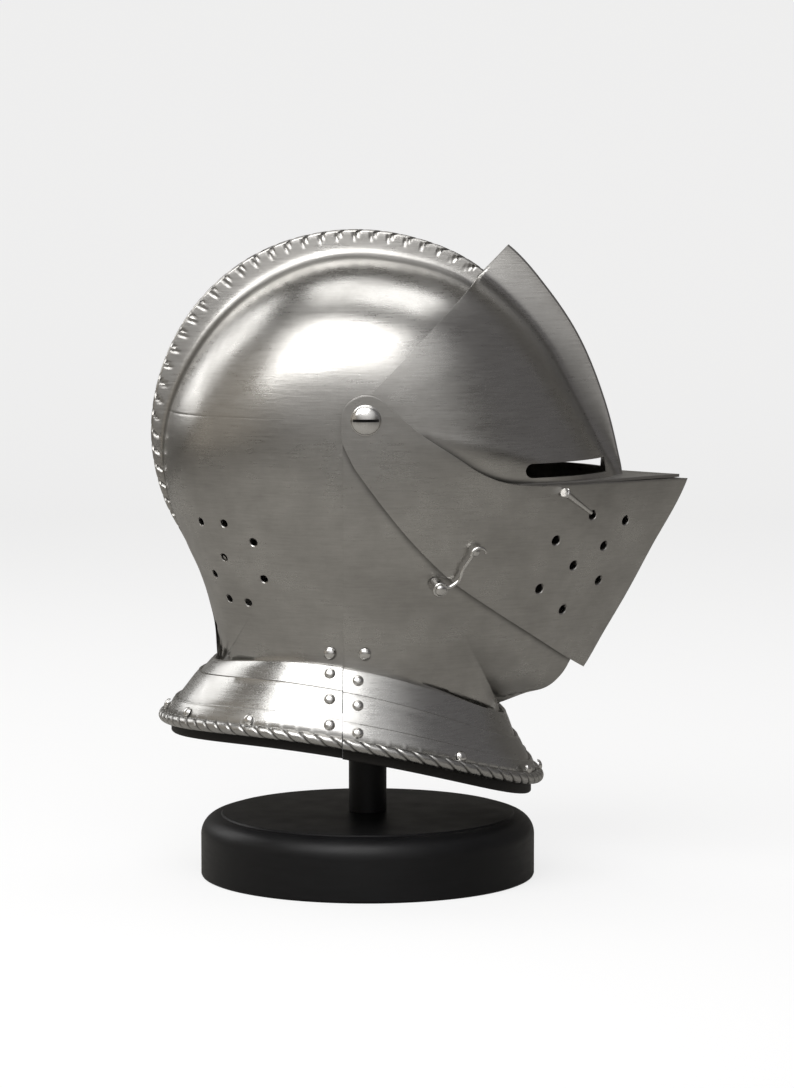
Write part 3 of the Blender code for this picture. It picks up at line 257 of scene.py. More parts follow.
def medial_part(rows, reach, degrees, inside_of=0.0):
    """Columns of a fan table in the middle plane: degrees, radius, end, blunt, ogee, collar, crest's rise.

    With inside_of, a plate's half width, the radius is that of its inner face.
    """
    bowl, crest, blunt, ogee = (read(rows, degrees, k) for k in (BOWL, CREST, BLUNT, OGEE))
    bowl, crest = reach * bowl, reach * crest
    if inside_of:
        near = 0.97
        slope = inside_of / bowl * FLATNESS / blunt * near ** (FLATNESS - 1)
        slope *= (1 - near**FLATNESS) ** (1 / blunt - 1)
        depth = WALL * np.hypot(1, slope) / slope
        bowl, crest = bowl - depth, crest - depth
    zero = np.zeros_like(bowl)
    return np.stack([degrees, bowl, zero, blunt, ogee, zero, crest - bowl], 1)


def neck_part(out, angles, blunt, corner_ogee):
    """Columns of a fan table at the neck ring, for angles round the ring from the rear to the front.

    The last stretch of a spoke is a straight collar, which fades out towards the middle plane.
    """
    x, y, z = ring_point(0.0, out, -NECK_LAP, angles).T
    share = np.clip(np.abs(y) / (RINGS[0, 2] + out), 0, 1)
    degrees = np.degrees(np.arctan2(z, x)) % 360
    ogee = corner_ogee + (1 - corner_ogee) * share**NECK_EASE
    blunt = blunt[0] + (blunt[1] - blunt[0]) * (1 - share)
    ease = np.clip(share / 0.4, 0, 1)
    collar = NECK_COLLAR * ease**2 * (3 - 2 * ease)
    return np.stack([degrees, np.hypot(x, z), np.abs(y), blunt, ogee, collar, 0 * x], 1)


def plate(kind, inner=False):
    """A plate's face as a fan: its table of spokes, its half width at the pivot and its fin's half width."""
    width = SKULL_HALF_WIDTH + ("skull", "bevor", "visor", "ventail").index(kind) * LAYER
    base = FIN_BASE / 2 if kind == "visor" else 0.0
    inside_of = width if inner else 0.0
    wall = WALL if inner else 0.0
    steps = np.arange
    if kind == "ventail":
        table = medial_part(VENTAIL_OUTLINE, VENTAIL_REACH, steps(-110, 250.5, 0.5), inside_of)
    elif kind == "visor":
        table = medial_part(VISOR_OUTLINE, VISOR_REACH, steps(-80, 280.5, 0.5), inside_of)
    else:
        out = BEVOR_OUT if kind == "bevor" else 0.0
        last = ring_angle(0.0, 0.0, SKULL_FOOT_FRONT)
        behind = np.append(steps(180, 238.5, 0.5), REAR_CORNER)
        rear = medial_part(SKULL_OUTLINE, SKULL_REACH + out, behind, inside_of)
        sides = neck_part(out - wall, np.linspace(math.pi, last, 160), (2.2, 2.2), SKULL_OUTLINE[-1, OGEE])
        if kind == "bevor":
            first = BEVOR_OUTLINE[0]
            throat = neck_part(out - wall, np.linspace(last, 0, 200)[1:], (2.2, first[BLUNT]), first[OGEE])
            front = medial_part(BEVOR_OUTLINE, BEVOR_REACH, steps(-66, 180, 0.5), inside_of)
            sides = np.vstack([sides, throat])
        else:
            front = medial_part(SKULL_OUTLINE, SKULL_REACH, steps(-62, 180, 0.5), inside_of)
        front[:, 0] += 360
        return eased(np.vstack([rear, sides, front])), width - wall, 0.0
    return np.column_stack([table, table[:, 1], table[:, 2]]), width - wall, max(base - wall, 0.0)


def eased(table, spread=5.0):
    """A fan table of a whole turn whose sections change gently from spoke to spoke, with two more columns.

    The two are the radius and the end as a mean over the spokes about, for use well inside the outline.
    """
    even = table[0, 0] + np.arange(0, 360, 0.25)
    window = np.exp(-0.5 * (np.arange(-80, 81) * 0.25 / spread) ** 2)
    window /= window.sum()
    means = {}
    for k in (1, 2, 3, 4, 5):
        values = np.pad(np.interp(even, table[:, 0], table[:, k]), 80, mode="wrap")
        means[k] = np.interp(table[:, 0], even, np.convolve(values, window, "valid"), period=360)
    return np.column_stack([table[:, :3], means[3], means[4], means[5], table[:, 6], means[1], means[2]])


def spoke_at(table, degrees):
    """The columns of a fan table at any angles."""
    lowest = table[0, 0]
    turned_by = (degrees - lowest) % 360 + lowest
    return [np.interp(turned_by, table[:, 0], table[:, k]) for k in range(1, 9)]


def fall(run, blunt, ogee):
    """How much of the half width is left along a spoke: 1 at the pivot, 0 at the spoke's end.

    (1 - ogee) (1 - run^2.5)^(1/blunt) + ogee (1 + cos(pi run^1.7)) / 2
    """
    run = np.clip(run, 0, 1)
    return (1 - ogee) * (1 - run**FLATNESS) ** (1 / blunt) + ogee * (1 + np.cos(np.pi * run**OGEE_LATE)) / 2


def half_width(face, x, z):
    """How far a plate's face stands from the middle plane at side-view places: end + (width - end) fall."""
    table, width, base = face
    radius, end, blunt, ogee, collar, _, mean_radius, mean_end = spoke_at(table, np.degrees(np.arctan2(z, x)))
    way = np.hypot(x, z)
    own = np.clip(way / radius, 0, 1) ** 12
    radius = mean_radius + (radius - mean_radius) * own
    end = mean_end + (end - mean_end) * own + base
    return end + (width - end) * fall(way / (radius - collar), blunt, ogee)


def run_at(share, blunt, ogee):
    """Where along a spoke a given share of the half width is left, by halving."""
    low, high = np.zeros(np.broadcast(share, blunt).shape), np.ones(np.broadcast(share, blunt).shape)
    for _ in range(40):
        middle = (low + high) / 2
        above = fall(middle, blunt, ogee) > share
        low, high = np.where(above, middle, low), np.where(above, high, middle)
    return (low + high) / 2


def new_piece(name, mesh, body, slot, *nodes):
    """Link a finished mesh as a piece that rides on a body and stands for its CAD nodes."""
    piece = bpy.data.objects.new(name, mesh)
    bpy.context.scene.collection.objects.link(piece)
    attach(piece, body)
    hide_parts(*nodes)
    return piece


def grid_faces(first, columns, rows, closed=False, flip=False):
    """Quads of a grid whose points are stored column by column from index first."""
    i = np.arange(columns if closed else columns - 1)[:, None]
    k = np.arange(rows - 1)[None, :]
    j = (i + 1) % columns
    quads = np.stack(np.broadcast_arrays(i * rows + k, j * rows + k, j * rows + k + 1, i * rows + k + 1), -1)
    quads = quads.reshape(-1, 4) + first
    return quads[:, ::-1] if flip else quads


def strip_faces(a, b):
    """Quads between two rows of point indices."""
    return np.stack([a[:-1], a[1:], b[1:], b[:-1]], -1)


def solid(name, blocks, faces, merge=2e-6, dirt=None):
    """A closed mesh from blocks of points and faces: doubles merged, then normals turned outwards.

    The shade values, one for each point, become an attribute that darkens the finish: painted shade.
    """
    points = np.concatenate([block.reshape(-1, 3) for block in blocks]) + PIVOT
    mesh = bpy.data.meshes.new(name)
    listed = []
    for group in faces:
        listed += group.tolist() if isinstance(group, np.ndarray) else group
    mesh.from_pydata(points.tolist(), [], listed)
    if dirt is not None:
        mesh.attributes.new("dirt", "FLOAT", "POINT").data.foreach_set("value", dirt.astype(np.float32))
    bm = bmesh.new()
    bm.from_mesh(mesh)
    bmesh.ops.remove_doubles(bm, verts=bm.verts, dist=merge)
    bmesh.ops.dissolve_degenerate(bm, edges=bm.edges, dist=1e-7)
    loose = [vert for vert in bm.verts if not vert.link_faces]
    bmesh.ops.delete(bm, geom=loose, context="VERTS")
    bmesh.ops.recalc_face_normals(bm, faces=bm.faces)
    bm.to_mesh(mesh)
    bm.free()
    mesh.update()
    return mesh


def rims(outer, inner, first, second, wrapped):
    """Strips between a plate's outside and inside along its open borders, those off the middle plane."""
    columns, rows = outer.shape[:2]
    depth = inner.shape[1]
    off = np.abs(outer[..., 1]) > 1e-9
    around = np.arange(columns + 1) % columns if wrapped else np.arange(columns)
    borders = [(around, rows - 1, around, depth - 1), (around, 0, around, 0)]
    faces = []
    for a, out_row, b, in_row in borders:
        mask = off[a[:-1], out_row] | off[a[1:], out_row]
        faces.append(strip_faces(first + a * rows + out_row, second + b * depth + in_row)[mask])
    if not wrapped:
        for column in (0, columns - 1):
            mask = off[column, :-1] | off[column, 1:]
            a = first + column * rows + np.arange(rows)
            b = second + column * depth + np.arange(depth)
            faces.append(strip_faces(a, b)[mask])
    return faces


def shell(name, outer, inner, wrapped=False, dirt=None):
    """A two-sided plate from the outer and inner grids of both its sides, each a pair (right, left)."""
    blocks = [outer[0], inner[0], outer[1], inner[1]]
    starts = np.cumsum([0] + [block.shape[0] * block.shape[1] for block in blocks])
    faces = []
    for k in (0, 2):
        columns, rows = blocks[k].shape[:2]
        faces.append(grid_faces(starts[k], columns, rows, wrapped, k == 2))
        faces.append(grid_faces(starts[k + 1], columns, blocks[k + 1].shape[1], wrapped, k == 0))
        faces += rims(blocks[k], blocks[k + 1], starts[k], starts[k + 1], wrapped)
    return solid(name, blocks, faces, dirt=dirt)


def both(grid):
    """A right side's grid and its mirror image."""
    return grid, grid * MIRROR


def finish_edges(mesh, width):
    """Round off the sharp edges of a finished mesh by a small width, and give them the edge finish, worn
    bright steel with a painted highlight.
    """
    for finish in ("plate", "edge"):
        mesh.materials.append(finishes()[finish])
    piece = bpy.data.objects.new("edging", mesh)
    bpy.context.scene.collection.objects.link(piece)
    bevel = piece.modifiers.new("bevel", "BEVEL")
    bevel.width = width
    bevel.segments = 2
    bevel.limit_method = "ANGLE"
    bevel.angle_limit = math.radians(48)
    bevel.material = 1
    return taken(piece, mesh.name)


def taken(piece, name):
    """The mesh of an object after its modifiers; the object itself is removed."""
    bpy.context.view_layer.update()
    held = bpy.context.evaluated_depsgraph_get()
    mesh = bpy.data.meshes.new_from_object(piece.evaluated_get(held))
    mesh.name = name
    bpy.data.objects.remove(piece)
    return mesh


def cut(mesh, cutter):
    """A mesh less a cutter mesh."""
    piece = bpy.data.objects.new("cutting", mesh)
    tool = bpy.data.objects.new("cutter", cutter)
    for each in (piece, tool):
        bpy.context.scene.collection.objects.link(each)
    change = piece.modifiers.new("cut", "BOOLEAN")
    change.operation = "DIFFERENCE"
    change.solver = "EXACT"
    change.object = tool
    if cutter.materials:
        change.material_mode = "TRANSFER"
    made = taken(piece, mesh.name)
    bpy.data.objects.remove(tool)
    return made


def paint_edge_shadow(mesh, line, spread=2.4 * MM, amount=0.6):
    """Paint shadow on a mesh beside a side-view line, as under a plate's edge: amount exp(-(distance /
    spread)^2).
    """
    places = np.empty(len(mesh.vertices) * 3)
    mesh.vertices.foreach_get("co", places)
    side = (places.reshape(-1, 3) - PIVOT)[:, [0, 2]]
    nearest = np.full(len(side), np.inf)
    for part in np.array_split(evenly(line, 300), 10):
        apart = np.hypot(side[:, None, 0] - part[None, :, 0], side[:, None, 1] - part[None, :, 1])
        nearest = np.minimum(nearest, apart.min(1))
    dirt = mesh.attributes.get("dirt") or mesh.attributes.new("dirt", "FLOAT", "POINT")
    held = np.empty(len(side), np.float32)
    dirt.data.foreach_get("value", held)
    shade_layer = np.maximum(held, amount * np.exp(-((nearest / spread) ** 2)))
    dirt.data.foreach_set("value", shade_layer.astype(np.float32))
    return mesh


def shade(mesh, degrees=32):
    """Smooth shading with creases kept."""
    mesh.shade_smooth()
    mesh.set_sharp_from_angle(angle=math.radians(degrees))
    return mesh


def turned(name, profile, sides=96, frame_matrix=None):
    """A closed turned mesh: a profile of (radius, height), top centre to bottom centre, spun about Z."""
    profile = np.asarray(profile, float)
    turn = np.linspace(0, 2 * math.pi, sides, endpoint=False)[:, None]
    radius, height = profile[:, 0][None], profile[:, 1][None]
    points = np.stack(np.broadcast_arrays(radius * np.cos(turn), radius * np.sin(turn), height), -1)
    if frame_matrix is not None:
        points = points @ frame_matrix[:3, :3].T + frame_matrix[:3, 3]
    return solid(name, [points - PIVOT], [grid_faces(0, sides, len(profile), True)], 1e-7)


def tube(name, path, radii, sides=20):
    """A closed round bar: circles of given radii square to a path, carried along it without twisting."""
    path = np.asarray(path, float)
    tangent = np.gradient(path, axis=0)
    tangent /= np.linalg.norm(tangent, axis=1)[:, None]
    side = np.cross(tangent[0], (0.0, 0.0, 1.0) if abs(tangent[0, 2]) < 0.9 else (1.0, 0.0, 0.0))
    across = []
    for step in tangent:
        side = side - step * np.dot(side, step)
        side = side / np.linalg.norm(side)
        across.append(side)
    across = np.array(across)
    up = np.cross(tangent, across)
    turn = np.linspace(0, 2 * math.pi, sides, endpoint=False)
    ring = across[:, None] * np.cos(turn)[None, :, None] + up[:, None] * np.sin(turn)[None, :, None]
    points = path[:, None] + ring * np.asarray(radii)[:, None, None]
    ends = [np.repeat(path[k][None, None], sides, 1) for k in (0, -1)]
    points = np.concatenate([ends[0], points, ends[1]], 0).transpose(1, 0, 2)
    return solid(name, [points - PIVOT], [grid_faces(0, sides, points.shape[1], True)], 1e-7)


def joined(name, meshes):
    """Several closed meshes as one mesh, with the first one's finishes."""
    bm = bmesh.new()
    for mesh in meshes:
        bm.from_mesh(mesh)
    made = bpy.data.meshes.new(name)
    bm.to_mesh(made)
    bm.free()
    for material in meshes[0].materials:
        made.materials.append(material)
    return made


def drills(spots, face, reach, radius):
    """One cutter for all holes of a plate: countersunk rods square to its surface, on both sides."""
    step = 0.5 * MM
    meshes = []
    for x, z in np.array(spots) * reach:
        y = half_width(face, x, z)
        dx = half_width(face, x + step, z) - y
        dz = half_width(face, x, z + step) - y
        normal = np.array([-dx / step, 1.0, -dz / step])
        normal /= np.linalg.norm(normal)
        side = np.cross((0.0, 0.0, 1.0), normal)
        side /= np.linalg.norm(side)
        for hand in (-1.0, 1.0):
            flip = np.array([1.0, hand, 1.0])
            matrix = np.eye(4)
            matrix[:3, :3] = np.stack([side * flip, np.cross(normal, side) * flip, normal * flip], 1)
            matrix[:3, 3] = np.array([x, y * hand, z]) + PIVOT
            lip = 0.5 * MM
            profile = [(0, 6 * MM), (radius + 6 * MM, 6 * MM), (radius + lip, 0), (radius, -lip),
                       (radius, -8 * MM), (0, -8 * MM)]
            meshes.append(turned("drill", profile, 28, matrix))
    return joined("drills", meshes)


def side_points(degrees, radii, depth):
    """Points on the right side from polar side-view places and half widths."""
    turn = np.radians(degrees)
    return np.stack(np.broadcast_arrays(radii * np.cos(turn), -depth, radii * np.sin(turn)), -1)


def softened(radii, depth, first, last, passes):
    """Radii and half widths with the rows between first and last drawn towards their neighbours' mean."""
    for _ in range(passes):
        for values in (radii, depth):
            mean = (values[:, first - 1 : last - 1] + values[:, first + 1 : last + 1]) / 2
            values[:, first:last] += 0.5 * (mean - values[:, first:last])
    return radii, depth


# The skull's grid, in degrees and rows
COMB_FIRST, COMB_LAST = 29.0, 219.0
BOWL_ROWS, CREST_ROWS, INNER_ROWS = 26, 15, 12


def comb_rows(face, degrees, pitch, depth, hand):
    """The comb at each angle, from its foot on the bowl up to its crest: radii, half widths, groove depths.

    The side is straight and the crest a half ellipse. Grooves slant over it like the lay of a rope: they lie
    where the way along the crest, less the lean times the way down from it, is a whole number of pitches.
    """
    table, width, _ = face
    radius, _, blunt, ogee, _, rise = (column[:, None] for column in spoke_at(table, degrees)[:6])
    turn = degrees[:, None]
    start, end = np.clip((turn - COMB_FIRST) / 7, 0, 1), np.clip((COMB_LAST - turn) / 4, 0, 1)
    rise = rise * start**2 * (3 - 2 * start) * end
    foot, half = COMB_BASE / 2, COMB_CREST / 2
    u = np.concatenate([np.linspace(0, 0.7, CREST_ROWS - 7), np.linspace(0.7, 1, 8)[1:]])[None]
    bend = np.clip((u - 0.7) / 0.3, 0, 1) * math.pi / 2
    side = np.clip(u / 0.7, 0, 1)
    shoulder = 1 - np.minimum(0.5 * half / np.maximum(rise, 1e-6), 0.7)
    height = np.where(u < 0.7, side * shoulder, shoulder + (1 - shoulder) * np.sin(bend))
    across = np.where(u < 0.7, foot + (half - foot) * side**0.6, half * np.cos(bend))
    raised = np.clip(rise / (4 * MM), 0, 1)
    y = raised * across + (1 - raised) * foot * (1 - u)
    y[:, -1] = 0
    r = radius * run_at(y / width, blunt, ogee) + rise * height
    steps = np.hypot(np.diff(y, axis=1), np.diff(r, axis=1))
    down = np.concatenate([np.cumsum(steps[:, ::-1], 1)[:, ::-1], 0 * rise], 1)
    along = np.concatenate([[0], np.cumsum(np.radians(np.diff(degrees)) * (radius + rise)[:-1, 0])])[:, None]
    phase = (along - hand * 1.15 * down) / pitch
    near = np.abs(phase - np.round(phase)) * pitch
    fade = np.clip(1 - down / (7.5 * MM), 0, 1) ** 0.5 * np.clip((turn - COMB_FIRST - 7) / 3, 0, 1)
    groove = np.exp(-((near / (1.0 * MM)) ** 4)) * fade * np.clip(rise / (3 * MM), 0, 1)
    dy, dr = np.gradient(y, axis=1), np.gradient(r, axis=1)
    length = np.maximum(np.hypot(dy, dr), 1e-9)
    r = r + groove * depth * dy / length
    y = y - groove * depth * dr / length
    y[:, -1] = 0
    return r, np.maximum(y, 0), groove


def skull_mesh(pitch, depth):
    """The skull: a fan from the pivot to its front edge, its neck and its comb, all one plate."""
    outer_face, inner_face = plate("skull"), plate("skull", True)
    front = line_through(SKULL_FRONT, SKULL_REACH, 160)
    front_angles = np.degrees(np.arctan2(front[:, 1], front[:, 0])) + 360
    last = int(np.argmax(front_angles)) + 1
    front, front_angles = front[:last], front_angles[:last]
    foot = ring_point(0.0, 0.0, -NECK_LAP, np.linspace(math.pi, ring_angle(0.0, 0.0, front[0, 0]), 60))
    foot_angles = np.degrees(np.arctan2(foot[:, 2], foot[:, 0])) % 360
    brow = front_angles[-1] - 360
    degrees = np.concatenate([np.arange(brow, COMB_FIRST, 0.6), np.arange(COMB_FIRST, COMB_LAST, 0.3),
                              np.arange(COMB_LAST, 238.5, 1.0), [REAR_CORNER], foot_angles,
                              front_angles[:-1]])
    degrees = degrees[np.concatenate([[True], np.diff(degrees) > 0.02])]
    turn = np.radians(degrees)[:, None]
    sides = {}
    for label, face, count in (("outer", outer_face, BOWL_ROWS), ("inner", inner_face, INNER_ROWS)):
        table, width, _ = face
        radius, end, blunt, ogee, _, _, _, _ = spoke_at(table, degrees)
        edge = np.interp(degrees, front_angles, np.hypot(front[:, 0], front[:, 1]))
        limit = np.where(degrees > foot_angles[-1] - 0.01, np.minimum(edge, radius), radius)
        medial = (end < 1e-6) & (limit > radius - 1e-7)
        foot_run = run_at(COMB_BASE / 2 / width, blunt, ogee)
        stop = np.where(medial, radius * foot_run, limit) if label == "outer" else limit
        r = PIVOT_HOLE + (stop - PIVOT_HOLE)[:, None] * np.sin(np.linspace(0, math.pi / 2, count))[None]
        y = half_width(face, r * np.cos(turn), r * np.sin(turn))
        y[medial, -1] = COMB_BASE / 2 if label == "outer" else 0.0
        sides[label] = (r, y, limit, medial)
    r, y, limit, medial = sides["outer"]
    made, shade_weight = [], []
    for hand in (1.0, -1.0):
        comb_r, comb_y, groove = comb_rows(outer_face, degrees, pitch, depth, hand)
        comb_r = np.where(medial[:, None], comb_r, limit[:, None])[:, 1:]
        comb_y = np.where(medial[:, None], comb_y, y[:, -1:])[:, 1:]
        whole_r, whole_y = softened(np.concatenate([r, comb_r], 1), np.concatenate([y, comb_y], 1),
                                    BOWL_ROWS - 2, BOWL_ROWS + 2, 3)
        grid = side_points(degrees[:, None], whole_r, whole_y)
        made.append(grid if hand > 0 else grid * MIRROR)
        # Painted shade: dark in the comb's notches and along the crease at its foot.
        shade_layer = np.zeros(whole_r.shape)
        shade_layer[:, BOWL_ROWS:] = (groove * medial[:, None])[:, 1:]
        shade_layer[:, BOWL_ROWS - 2 : BOWL_ROWS + 1] = 0.45 * medial[:, None]
        shade_weight.append(shade_layer.ravel())
    inner = both(side_points(degrees[:, None], sides["inner"][0], sides["inner"][1]))
    # No painted shade on the inside.
    unshaded = np.zeros(inner[0].shape[0] * inner[0].shape[1])
    return shell("skull", made, inner, True, np.concatenate([shade_weight[0], unshaded, shade_weight[1], unshaded]))


def patch(near, far, start, end):
    """A grid of side-view places between four edges: a blend of the straight links across and along (Coons).

    near and far run from start to end; start and end run from near to far.
    """
    u = np.linspace(0, 1, len(near))[:, None, None]
    v = np.linspace(0, 1, len(start))[None, :, None]
    corners = (1 - u) * ((1 - v) * near[0] + v * far[0]) + u * ((1 - v) * near[-1] + v * far[-1])
    return (1 - v) * near[:, None] + v * far[:, None] + (1 - u) * start[None] + u * end[None] - corners


def outline_arc(face, start, end, count=240):
    """The middle-plane outline of a plate between two angles, as side-view points."""
    degrees = np.linspace(start, end, count)
    radius = spoke_at(face[0], degrees)[0]
    return np.stack([radius * np.cos(np.radians(degrees)), radius * np.sin(np.radians(degrees))], 1)


def until_outline(face, line):
    """A line that starts inside a plate's outline, cut where it meets it, and the angle there."""
    onward = (line[-1] - line[-2]) / np.linalg.norm(line[-1] - line[-2])
    points = evenly(np.vstack([line, line[-1] + onward * 40 * MM]), 1200)
    degrees = np.degrees(np.arctan2(points[:, 1], points[:, 0]))
    gap = np.hypot(points[:, 0], points[:, 1]) - spoke_at(face[0], degrees)[0]
    i = int(np.argmax((gap[:-1] < 0) & (gap[1:] >= 0)))
    share = -gap[i] / (gap[i + 1] - gap[i])
    end = points[i] + (points[i + 1] - points[i]) * share
    return np.vstack([points[: i + 1], end]), degrees[i] + (degrees[i + 1] - degrees[i]) * share


def patch_points(face, places, medial, steps_in):
    """The right side's points of a patch, with those marked as medial put on the middle plane.

    steps_in counts the steps from the plate's outline: each keeps a place at least 0.3 % further inside it.
    """
    angle = np.arctan2(places[..., 1], places[..., 0])
    limit = spoke_at(face[0], np.degrees(angle))[0] * (1 - 0.003 * np.minimum(steps_in, 20))
    r = np.minimum(np.hypot(places[..., 0], places[..., 1]), limit)
    x, z = r * np.cos(angle), r * np.sin(angle)
    y = half_width(face, x, z)
    y[medial] = 0
    return np.stack([x, -y, z], -1)


def arc(radius, start, end, count=40):
    """Points of an arc round the pivot in the side view, angles in degrees."""
    turn = np.radians(np.linspace(start, end, count))
    return np.stack([radius * np.cos(turn), radius * np.sin(turn)], 1)


def ventail_foot():
    """The ventail's lower edge in the side view, from behind the pivot to the prow."""
    foot = line_through(VENTAIL_FOOT[::-1], VENTAIL_REACH)
    return smoothed(np.vstack([[-EAR_RADIUS, 0.0], [-EAR_RADIUS, -EAR_RADIUS * 0.85], foot]), 260)


def ventail_mesh():
    """The ventail: a patch from the ear round the pivot to the keel of the prow."""
    top = np.vstack([arc(EAR_RADIUS, 45, 44, 2), line_through(VENTAIL_TOP, VENTAIL_REACH)])
    foot = ventail_foot()
    columns, rows = 170, 72
    keel = np.zeros((columns, rows), bool)
    keel[-1] = True
    steps_in = np.arange(columns)[::-1, None] + np.zeros(rows)
    grids = []
    for inner in (False, True):
        face = plate("ventail", inner)
        upper, tip = until_outline(face, top)
        lower, chin = until_outline(face, foot)
        edges = (evenly(upper, columns), evenly(lower, columns), evenly(arc(EAR_RADIUS, 45, 180), rows),
                 evenly(outline_arc(face, tip, chin), rows))
        grids.append(both(patch_points(face, patch(*edges), keel, steps_in)))
    mesh = finish_edges(shell("ventail", *grids), PLATE_BEVEL)
    return shade(cut(mesh, drills(BREATHS, plate("ventail"), VENTAIL_REACH, BREATH_RADIUS)))


def smoothed(line, count):
    """A polyline evenly spaced, its corners eased by drawing each inner point to its neighbours' mean."""
    made = evenly(line, count)
    for _ in range(12):
        made[1:-1] += 0.5 * ((made[:-2] + made[2:]) / 2 - made[1:-1])
    return made


def bevor_mesh():
    """The bevor: a patch from its ear and top edge down to the neck ring and the chin's outline."""
    seam = SEAM_X + SEAM_GAP / 2
    top = line_through(BEVOR_TOP, BEVOR_REACH)
    start = math.degrees(math.atan2(top[0, 1], top[0, 0]))
    ear = smoothed(np.vstack([arc(INNER_EAR_RADIUS, 177, start), top]), 400)
    columns, rows, foot_columns = 150, 90, 96
    medial = np.zeros((columns, rows), bool)
    medial[-1] = medial[foot_columns - 1 :, -1] = True
    steps_in = np.minimum(np.arange(columns)[::-1, None], np.arange(rows)[None, ::-1])
    grids = []
    for inner in (False, True):
        face = plate("bevor", inner)
        out = BEVOR_OUT - (WALL if inner else 0.0)
        upper, chin = until_outline(face, ear)
        ring = ring_point(0.0, out, -NECK_LAP, np.linspace(ring_angle(0.0, out, seam), 0, 300))[:, [0, 2]]
        corner = math.degrees(math.atan2(ring[-1, 1], ring[-1, 0]))
        throat = outline_arc(face, corner, chin)
        throat[0] = ring[-1]
        side = evenly(np.vstack([upper[0], [seam, -0.4 * EAR_RADIUS], ring[0]]), rows)
        far = np.vstack([evenly(ring, foot_columns), evenly(throat, columns - foot_columns + 1)[1:]])
        places = patch(evenly(upper, columns), far, side, np.repeat(far[-1:], rows, 0))
        grids.append(both(patch_points(face, places, medial, steps_in)))
    # Painted shadow on the bevor beside the ventail's lower edge.
    return shade(paint_edge_shadow(finish_edges(shell("bevor", *grids), PLATE_BEVEL), ventail_foot()))


